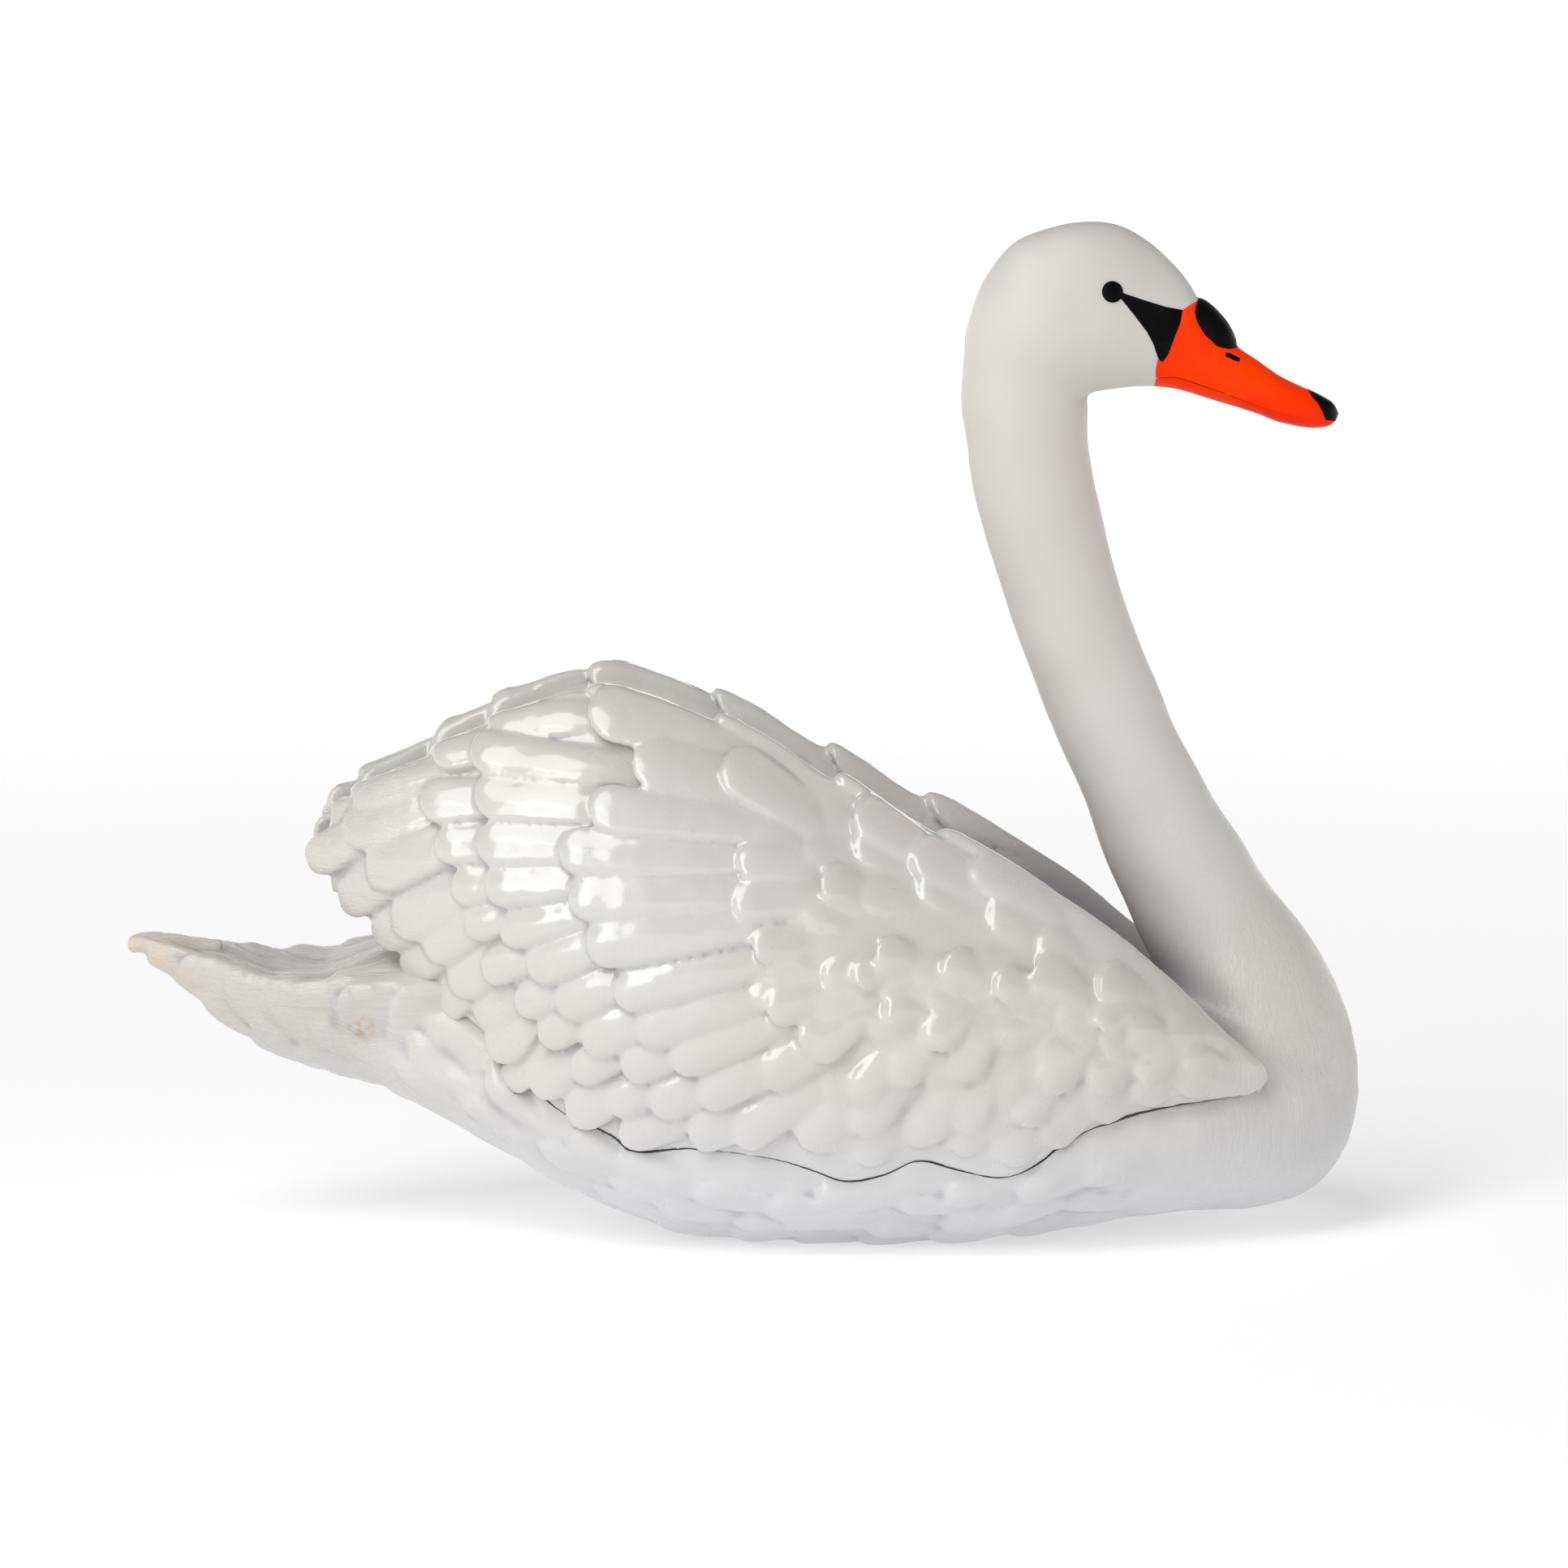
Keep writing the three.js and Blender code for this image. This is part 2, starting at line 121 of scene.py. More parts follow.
def at_x(curve, x):
    """The columns after the first of a curve's rows, read off at one x or many."""
    return [np.interp(x, curve[:, 0], curve[:, k]) for k in range(1, curve.shape[1])]


def smooth_step(value, low, high):
    t = np.clip((np.asarray(value, float) - low) / (high - low), 0, 1)
    return t * t * (3 - 2 * t)


# %% [markdown]
# ## Forms from a wrapped grid
#
# `create_grid` makes a flat sheet of squares. Each of its points is told where to go on the form,
# so the sheet is rolled up like paper round a bottle. Where two edges come to lie on each other
# they are merged, which closes the roll and both of its ends.


# %% Wrap a grid round a form
def wrapped(across, along, place):
    """A closed bmesh: place(around, down) gives the points for values from 0 to 1."""
    form = bmesh.new()
    bmesh.ops.create_grid(form, x_segments=across, y_segments=along, size=0.5)
    around = np.array([v.co.x for v in form.verts]) + 0.5
    down = np.array([v.co.y for v in form.verts]) + 0.5
    for vert, point in zip(form.verts, place(around, down)):
        vert.co = point
    bmesh.ops.remove_doubles(form, verts=form.verts, dist=0.02)
    bmesh.ops.recalc_face_normals(form, faces=form.faces)
    return form


def as_object(name, form):
    mesh = bpy.data.meshes.new(name)
    form.to_mesh(mesh)
    form.free()
    made = bpy.data.objects.new(name, mesh)
    bpy.context.scene.collection.objects.link(made)
    return made


def add_to(form, other):
    """Puts a second bmesh into the first."""
    carrier = bpy.data.meshes.new("carrier")
    other.to_mesh(carrier)
    other.free()
    form.from_mesh(carrier)
    bpy.data.meshes.remove(carrier)


# %% [markdown]
# ## The trunk
#
# A swan's body is a boat: deepest amidships, pulled up to the tail, with a full, round breast. Each
# row is a frame across X, with the height of the keel, the height of the back and the half-width.
# The frame itself is a superellipse, a little squarer than an ellipse, and widest below its middle.

# %% Trunk, head and bill sections
TRUNK = [  # x, keel, back, half-width
    (-318, 152, 152, 0),
    (-300, 130, 170, 42),
    (-268, 112, 182, 74),
    (-240, 96, 192, 92),
    (-200, 71, 203, 108),
    (-150, 45, 211, 124),
    (-90, 14, 219, 140),
    (-30, -5, 225, 152),
    (60, -8, 226, 160),
    (150, -7, 216, 157),
    (220, 2, 192, 148),
    (290, 10, 162, 132),
    (345, 12, 150, 113),
    (386, 21, 146, 88),
    (410, 43, 140, 62),
    (421, 71, 130, 38),
    (426, 100, 100, 0),
]
HEAD = [  # x, chin, crown, half-width; the bill goes on from the head
    (149, 600, 600, 0),
    (153, 575, 622, 14),
    (162, 562, 647, 26),
    (183, 558, 674, 36),
    (208, 563, 686, 40.5),
    (233, 572, 690, 40.5),
    (256, 576, 687.5, 37),
    (277, 577.5, 676, 31),
    (294, 576, 660.5, 27),
    (304, 573.5, 648.5, 25),
    (312, 571, 635, 23.3),
    (320, 568.5, 622.5, 22),
    (330, 565.5, 611.5, 20.8),
    (340, 562.5, 602.5, 19.8),
    (352, 558.5, 594.5, 19.2),
    (368, 552.5, 583.5, 18.5),
    (387, 549, 574.5, 17.5),
    (398, 549.5, 569, 14),
    (404, 552, 565, 8.5),
    (408, 558.5, 558.5, 0),
]
TRUNK_CURVE = through(TRUNK)
WIDEST_AT = 0.42  # height of the widest level, as a share of a section's height


def section_points(curve, x, angle, power, grow=0.0):
    """Points at an angle round the sections of a body, counted up from its right side."""
    keel, back, half = at_x(curve, x)
    widest = keel + (back - keel) * WIDEST_AT
    swell = lambda v: np.sign(v) * np.abs(v) ** (2 / power)
    up = swell(np.sin(angle))
    reach = np.where(up > 0, back - widest, widest - keel)
    closed = np.clip((back - keel) / 8, 0, 1)
    y = -swell(np.cos(angle)) * (half + grow * closed)
    return np.stack([x, y, widest + up * (reach + grow * closed)], 1)


def body_form(rows, power, across, along, grow=0.0, end=1.0):
    curve = through(rows)
    spread = np.linspace(0, 1, len(curve))

    def place(around, down):
        x = np.interp(down * end, spread, curve[:, 0])
        points = section_points(curve, x, around * 2 * math.pi, power, grow)
        for closed_end in (down < 1e-6, down > 1 - 1e-6):
            points[closed_end] = points[closed_end].mean(axis=0)
        return points

    return wrapped(across, along, place)


TRUNK_POWER = 2.5
HEAD_POWER = 2.2
SEAM = [  # x, z of the line where the body meets the lower edge of a wing
    (-162, 119), (-154, 103), (-121, 95), (-91, 83), (-77, 73), (-39, 76), (15, 69), (42, 62), (64, 54),
    (90, 58), (113, 68), (135, 63), (170, 56), (195, 66), (216, 82), (261, 97), (317, 104), (353, 113),
]
SEAM_CURVE = through(SEAM)
FLANK_SWELL = 10  # how far the flank bulges below the wing, so that the wing sits in a rebate


def flank(x, angle):
    """Points of the trunk, with the bulge that carries the wing."""
    points = section_points(TRUNK_CURVE, x, angle, TRUNK_POWER)
    seam = at_x(SEAM_CURVE, x)[0]
    ends = smooth_step(x, -220, -120) * (1 - smooth_step(x, 300, 370))
    bulge = FLANK_SWELL * ends * np.exp(-(((points[:, 2] - seam + 16) / 26) ** 2))
    points[:, 1] += np.sign(points[:, 1]) * bulge * smooth_step(np.abs(points[:, 1]), 40, 90)
    return points


def trunk_form(across=96, along=110):
    spread = np.linspace(0, 1, len(TRUNK_CURVE))

    def place(around, down):
        points = flank(np.interp(down, spread, TRUNK_CURVE[:, 0]), around * 2 * math.pi)
        for closed_end in (down < 1e-6, down > 1 - 1e-6):
            points[closed_end] = points[closed_end].mean(axis=0)
        return points

    return wrapped(across, along, place)


print("trunk:", TRUNK[-1][0] - TRUNK[0][0], "mm long")

# %% [markdown]
# ## The neck
#
# The neck is a tube whose centre line rises in a lazy S. It is deeper than wide at its foot, where
# it spreads into the breast. The rings stand square to the centre line, so that they don't pinch.

# %% Neck
NECK = [  # centre x, centre z, half-depth, half-width
    (368, 88, 56, 84),
    (363, 125, 59, 80),
    (349, 161, 55.5, 66),
    (325, 203, 49.5, 51),
    (293, 261, 44, 41),
    (265, 320, 39, 36.5),
    (240, 378, 39, 35),
    (219, 436, 39.5, 34.5),
    (203, 492, 40.5, 34.5),
    (195, 531, 42, 35),
    (192, 566, 44.5, 35),
    (193, 602, 44, 33),
]


def neck_form(across=64, along=150):
    line = through(NECK, along + 1)
    way = np.gradient(line[:, :2], axis=0)
    way /= np.linalg.norm(way, axis=1)[:, None]

    def place(around, down):
        row = np.round(down * along).astype(int)
        shut = np.where((row == 0) | (row == along), 0.0, 1.0)
        out = -np.cos(around * 2 * math.pi) * line[row, 3] * shut
        deep = np.sin(around * 2 * math.pi) * line[row, 2] * shut
        x = line[row, 0] + way[row, 1] * deep
        return np.stack([x, out, line[row, 1] - way[row, 0] * deep], 1)

    return wrapped(across, along, place)


# %% [markdown]
# ## The tail
#
# The tail is a shallow trough that narrows to a blunt tip: dished on top, keeled underneath, with
# a thin rim. A row holds the keel, the rim and the dished top, and the half-width.

# %% Tail
TAIL = [  # x, keel, rim, top, half-width
    (-426, 195, 197, 197, 0),
    (-416, 189, 199, 198.5, 15),
    (-395, 179, 196, 193, 29),
    (-362, 150, 191, 182, 48),
    (-331, 129, 183, 171, 65),
    (-292, 114, 180, 170, 86),
    (-250, 102, 181, 188, 102),
    (-215, 86, 180, 197, 108),
    (-180, 72, 178, 198, 104),
]
TAIL_CURVE = through(TAIL)
TAIL_RIM = 2.5  # half the thickness of its rim


def tail_top(x, share):
    _, rim, top, half = at_x(TAIL_CURVE, x)
    return np.stack([x, share * half, rim + (top - rim) * (1 - share**2) + TAIL_RIM * (1 - share**8)], 1)


def tail_under(x, share):
    keel, rim, _, half = at_x(TAIL_CURVE, x)
    height = keel + (rim - TAIL_RIM - keel) * np.abs(share) ** 2.6 + TAIL_RIM * share**8
    return np.stack([x, share * half, height], 1)


def tail_form(across=72, along=60):
    front = TAIL[-1][0]

    def place(around, down):
        x = TAIL[0][0] + (front - TAIL[0][0]) * down
        share = np.cos(around * 2 * math.pi)
        points = np.where((around <= 0.5)[:, None], tail_top(x, share), tail_under(x, share))
        for closed_end in (down < 1e-6, down > 1 - 1e-6):
            points[closed_end] = points[closed_end].mean(axis=0)
        return points

    return wrapped(across, along, place)


# %% [markdown]
# ## Feathers as pebbles
#
# The modeller of the real figure pressed tongues of clay on the form, overlapping like roof tiles.
# A tongue starts here as `create_uvsphere`. Its axis becomes the shaft: the near half turns into
# the round tip, the far half is drawn out to the root. It is flattened, crowned and grooved, and
# wrapped on the surface below. The tip is lifted and the root sinks in, so each row steps down on
# the next one. `surface(p, q)` says where a point of the flat layout lies in space.


# %% One feather
def along_and_out(surface, p, q):
    """Where layout points lie on a surface, and which way is out of it."""
    step = 0.5
    here = surface(p, q)
    one = surface(p + step, q) - here
    two = surface(p, q + step) - here
    out = np.cross(one, two)
    return here, out / np.maximum(np.linalg.norm(out, axis=1)[:, None], 1e-9)


ROOT_DEPTH = 7.0  # how far the root of a feather dips under the skin, in millimetres


def feather(form, surface, tip, heading, half, length, lift, thick=4.0, soft=0.55, roll=0.1, flip=1.0):
    """A tongue with its rounded tip at `tip`, whose shaft runs back from there at `heading`."""
    tongue = bmesh.new()
    made = bmesh.ops.create_uvsphere(tongue, u_segments=20, v_segments=24, radius=1.0)["verts"]
    ball = np.array([v.co for v in made])
    axis, side, up = -ball[:, 2], ball[:, 0], ball[:, 1]
    reach = np.where(axis < 0, half * (1 + axis), half + axis * (length - half))
    girth = np.sqrt(np.clip(1 - axis**2, 0, 1))
    girth = np.where(axis < 0, girth**0.85, girth**0.35)
    ratio = side / np.maximum(np.sqrt(side**2 + up**2), 1e-6)
    rise = np.sqrt(np.clip(1 - ratio**2, 0, 1)) ** soft * np.sign(up)
    share = reach / length
    width = half * girth * (1 - 0.2 * share)
    turn = np.radians(heading)
    p = tip[0] + np.cos(turn) * reach - np.sin(turn) * ratio * width
    q = tip[1] + np.sin(turn) * reach + np.cos(turn) * ratio * width
    base, out = along_and_out(surface, p, q)
    height = lift * (1 - share) - ROOT_DEPTH * share**1.5 + thick * rise * girth
    crown = half * (0.08 * (1 - ratio**2) - roll * ratio)
    for vert, point in zip(made, base + out * (flip * (height + crown))[:, None]):
        vert.co = point
    add_to(form, tongue)


# %% [markdown]
# ## Relief under the body
#
# Under the wings and the tail the modeller used short, blunt tongues in loose rows. They are laid
# out on the unrolled belly: one way along X, the other way round the body from the keel. A seeded
# generator shifts and turns each a little, so that the rows look pressed by hand, the same each run.

# %% Belly and tail relief
hand = np.random.default_rng(7)


def round_belly(side):
    def surface(x, arc):
        keel, back, half = at_x(TRUNK_CURVE, x)
        girth = (half + (back - keel) * WIDEST_AT) / 2
        return flank(x, -math.pi / 2 + arc / np.maximum(girth, 20)) * (1, -side, 1)

    return surface


def on_tail(x, y):
    half = at_x(TAIL_CURVE, x)[3]
    return tail_under(x, np.clip(y / np.maximum(half, 1), -1, 1))


def on_trough(x, y):
    half = at_x(TAIL_CURVE, x)[3]
    return tail_top(x, np.clip(y / np.maximum(half, 1), -1, 1))


BELLY_THICK, BELLY_SOFT = 3.6, 0.9
relief = bmesh.new()
BELLY_ROWS = [  # distance from the keel; from x, to x, step; half-width; lift
    (82, -240, 300, 46, 19, 0.8),
    (112, -230, 290, 44, 18, 2.2),
    (144, -215, 240, 44, 16, 3.2),
]
for side in (-1, 1):
    for arc, start, stop, step, half, lift in BELLY_ROWS:
        for x in np.arange(start, stop, step):
            tip = (x + hand.uniform(-9, 9), arc + hand.uniform(-7, 7))
            heading, length = hand.uniform(-30, 18), hand.uniform(1.4, 2.2) * step
            fade = 1 - 0.6 * smooth_step(x, 180, 330)
            half_here = half * hand.uniform(0.7, 1.15)
            lifted, thick = lift * fade, BELLY_THICK * fade
            feather(
                relief, round_belly(side), tip, heading, half_here, length, lifted, thick, BELLY_SOFT, 0.0, -side
            )
print("belly tongues laid")

# %% Tail feathers
# x of the tips and how many stand across the tail there
TAIL_STEPS = [(-404, 1), (-376, 3), (-346, 4), (-314, 5), (-280, 6), (-246, 7), (-212, 7)]
TAIL_KEEL = (-392, -366, -338, -304, -268, -232)
# x of the tip and its share of the half-width, for the feathers of the sides and of the dished top
TAIL_SIDES = [(-386, 0.9), (-368, 0.62), (-352, 0.95), (-336, 0.7), (-322, 0.93), (-305, 0.55), (-292, 0.8),
              (-276, 0.95), (-262, 0.62), (-240, 0.85), (-222, 0.6)]
TROUGH_TIPS = [(-396, 0.0), (-372, 0.5), (-350, 0.84), (-318, 0.9), (-280, 0.92), (-330, 0.3), (-290, 0.55)]
for x, count in TAIL_STEPS:
    half_width = at_x(TAIL_CURVE, x + 18)[3]
    for place, share in enumerate(np.linspace(-0.88, 0.88, count) if count > 1 else (0.0,)):
        y = share * half_width + hand.uniform(-4, 4)
        heading = -math.degrees(math.atan2(y, 420)) + hand.uniform(-5, 5)
        tip = (x + 13 * (place % 2) + hand.uniform(-8, 8), y)
        half = min(24.0, 1.7 * half_width / count)
        feather(relief, on_tail, tip, heading, half, 80, 4.0, 3.0, 0.7, 0.0, -1.0)
for x in TAIL_KEEL:
    feather(relief, on_tail, (x, hand.uniform(-3, 3)), 0, 13, 60, 6.0, 3.4, 0.7, 0.0, -1.0)
for x, share in TAIL_SIDES:
    for side in (-1, 1):
        y = side * share * at_x(TAIL_CURVE, x)[3]
        heading = -math.degrees(math.atan2(side * 30, 90)) * share
        half, length = hand.uniform(8, 11), hand.uniform(60, 85)
        feather(relief, on_tail, (x, y), heading, half, length, 6.5, 3.6, 0.8, 0.0, -1.0)
for x, share in TROUGH_TIPS:
    for side in (-1, 1):
        y = side * share * at_x(TAIL_CURVE, x)[3]
        heading = -math.degrees(math.atan2(y * 0.8, 160))
        feather(relief, on_trough, (x, y), heading, 12, 130, 1.6, 2.6, 0.6, 0.0)

# the blunt rod of the tail tip
rod = bmesh.new()
bmesh.ops.create_cone(rod, cap_ends=True, segments=24, radius1=3.5, radius2=7.6, depth=66)
bmesh.ops.rotate(rod, cent=(0, 0, 0), matrix=Matrix.Rotation(math.radians(-90), 3, "Y"), verts=rod.verts)
bmesh.ops.scale(rod, vec=(1, 1.15, 0.85), verts=rod.verts)
bmesh.ops.translate(rod, vec=(-393, 0, 193.5), verts=rod.verts)
bmesh.ops.bevel(
    rod, geom=rod.edges[:], offset=2.5, offset_type="OFFSET", segments=3, profile=0.5, affect="EDGES",
    material=-1,
)
add_to(relief, rod)
print("relief:", len(relief.verts), "points")

# %% [markdown]
# ## Casting
#
# A heap of overlapping forms becomes one skin with a voxel remesh: space is cut into small cubes
# and the outside of the heap is drawn round again. A little smoothing then rounds every edge, as
# thick enamel does. Smaller cubes keep finer creases and make more faces, so the large skins are
# thinned at the end.


# %% Cast a heap of forms
def applied(piece):
    """The piece with its modifiers turned into plain mesh."""
    graph = bpy.context.evaluated_depsgraph_get()
    fresh = bpy.data.meshes.new_from_object(piece.evaluated_get(graph))
    old = piece.data
    piece.modifiers.clear()
    piece.data = fresh
    bpy.data.meshes.remove(old)
    return piece


def cast(piece, cube, rounds):
    remesh = piece.modifiers.new("remesh", "REMESH")
    remesh.mode = "VOXEL"
    remesh.voxel_size = cube
    smooth = piece.modifiers.new("smooth", "SMOOTH")
    smooth.factor = 0.5
    smooth.iterations = rounds
    applied(piece)
    print(piece.name, "cast:", len(piece.data.polygons), "faces")
    return piece


def points_of(piece):
    flat = np.empty(len(piece.data.vertices) * 3, np.float32)
    piece.data.vertices.foreach_get("co", flat)
    return flat.reshape(-1, 3).astype(float)


def normals_of(piece):
    flat = np.empty(len(piece.data.vertices) * 3, np.float32)
    piece.data.vertex_normals.foreach_get("vector", flat)
    return flat.reshape(-1, 3).astype(float)


def move_points(piece, points):
    piece.data.vertices.foreach_set("co", points.astype(np.float32).ravel())
    piece.data.update()


def uneven(piece, size, depth, where=None, seed=0):
    """Soft unevenness of hand work: noise of one size, pushed along the normals."""
    points, normals = points_of(piece), normals_of(piece)
    shift = Vector((seed * 17.3, seed * 5.1, seed * 9.7))
    push = np.array([noise.noise(Vector(p) / size + shift) for p in points]) * depth
    if where is not None:
        push = push * where(points)
    move_points(piece, points + normals * push[:, None])


# %% [markdown]
# ## One skin for body, neck, tail and head
#
# The heap of forms is cast once. The head has to carry crisp paint lines later, so its skin is drawn
# back on to the exact head form with a shrinkwrap, which fades out towards the neck. The foot of
# the neck gets extra smoothing, as a modeller wipes a joint with a wet thumb.

# %% Cast the body
def weigh(piece, name, weights):
    group = piece.vertex_groups.new(name=name)
    for index in np.flatnonzero(weights > 0.001):
        group.add([int(index)], float(weights[index]), "REPLACE")
    return name


BODY_CUBE = 2.8
HEAD_END = 0.56  # share of the head's length that is white; the bill covers the rest
body_bm = bmesh.new()
head_root = body_form(HEAD, HEAD_POWER, 72, 110, end=HEAD_END)
for part in (trunk_form(), neck_form(), tail_form(), head_root, relief):
    add_to(body_bm, part)
body = as_object("body", body_bm)
cast(body, BODY_CUBE, 7)

head_form = as_object("head_form", body_form(HEAD, HEAD_POWER, 128, 200))
points = points_of(body)
x, z = points[:, 0], points[:, 2]
wipe = smooth_step(x, 225, 290) * smooth_step(z, 95, 150) * (1 - smooth_step(z, 240, 310))
throat = smooth_step(z, 520, 545) * (1 - smooth_step(z, 590, 620)) * (1 - smooth_step(x, 236, 250))
smooth = body.modifiers.new("wipe", "SMOOTH")
smooth.factor = 0.5
smooth.iterations = 90
smooth.vertex_group = weigh(body, "wipe", np.maximum(wipe, throat))
wrap = body.modifiers.new("head", "SHRINKWRAP")
wrap.target = head_form
wrap.wrap_method = "NEAREST_SURFACEPOINT"
wrap.vertex_group = weigh(body, "head", smooth_step(x, 222, 242) * smooth_step(z, 560, 568))
applied(body)
body.vertex_groups.clear()
print("skin of the body:", len(body.data.polygons), "faces")

# %% [markdown]
# ## The wings
#
# A wing is a curved board that stands over the flank. Each row is a frame across X: the lower
# edge, the ridge and the widest level, then how far those lie from the middle of the swan.

# %% Wing sections
WING = [  # x, low, top, widest level; distances of lower edge, bulge, ridge and inner face
    (-314, 240, 291, 264, 38, 44, 35, 29),
    (-266, 220, 306, 258, 66, 77, 50, 36),
    (-218, 176, 332, 244, 92, 108, 64, 41),
    (-167, 130, 356, 227, 122, 136, 72, 42),
    (-106, 86, 377, 208, 144, 164, 82, 44),
    (-40, 72, 366, 191, 157, 181, 88, 44),
    (38, 62, 331, 172, 164, 188, 94, 45),
    (110, 58, 292, 157, 165, 187, 105, 50),
    (180, 58, 260, 147, 162, 179, 115, 62),
    (230, 80, 232, 142, 154, 168, 118, 72),
    (280, 97, 192, 135, 143, 152, 117, 86),
    (318, 102, 155, 124, 131, 135, 114, 96),
    (338, 105, 138, 118, 123, 126, 114, 103),
    (348, 109, 129, 118, 118, 120, 114, 106),
    (353, 118, 118, 118, 115, 115, 115, 115),
]
WING_CURVE = through(WING)
CREST_UP = 3  # makes up for some of what the rounding takes off the crest
FACE_SHARE, FOOT_SHARE = 0.94, 0.06  # shares of a section's round: its faces, and the foot that closes it
CREST_ROUNDING = (-9, -4.5, 0, 4.5, 9)  # the crest is a mean over this stretch, which rounds it
on_seam = smooth_step(WING_CURVE[:, 0], -170, -100) * (1 - smooth_step(WING_CURVE[:, 0], 300, 336))
WING_CURVE[:, 1] += on_seam * (at_x(SEAM_CURVE, WING_CURVE[:, 0])[0] - WING_CURVE[:, 1])


def wing_section(x, way):
    """Right wing: `way` is the height on the outer face, and goes on over the crest down inside."""
    low, top, mid, edge, bulge, ridge, inner = at_x(WING_CURVE, x)
    top = top + CREST_UP
    z = np.minimum(way, top)
    above = np.minimum((z - mid) / np.maximum(top - mid, 1), 1.5)
    below = np.minimum((mid - z) / np.maximum(mid - low, 1), 1.5)
    fall = np.where(z > mid, (bulge - ridge) * above**2, (bulge - edge) * below**2)
    over = np.maximum(way - top, 0)
    turn = np.sin(math.pi / 2 * np.clip(over / np.maximum(top - low, 1) * 1.35, 0, 1))
    y = np.where(over > 0, ridge + (inner - ridge) * turn, bulge - fall)
    return np.stack([x, -y, z - over], 1)


def on_wing(x, way):
    return np.mean([wing_section(x, way + shift) for shift in CREST_ROUNDING], axis=0)


def wing_shell(across=150, along=170):
    shell_rear, shell_front = -286, 353

    def place(around, down):
        x = shell_rear + (shell_front - shell_rear) * down
        low, top = at_x(WING_CURVE, x)[:2]
        low = low + 9 * (1 - smooth_step(x, -170, -110))
        face = on_wing(x, low + 1.95 * (top - low) * np.clip(around / FACE_SHARE, 0, 1))
        start = on_wing(x, low)
        shut = np.clip((around - FACE_SHARE) / FOOT_SHARE, 0, 1)[:, None]
        points = face + (start - face) * shut
        for closed_end in (down < 1e-6, down > 1 - 1e-6):
            points[closed_end] = points[closed_end].mean(axis=0)
        return points

    return wrapped(across, along, place)
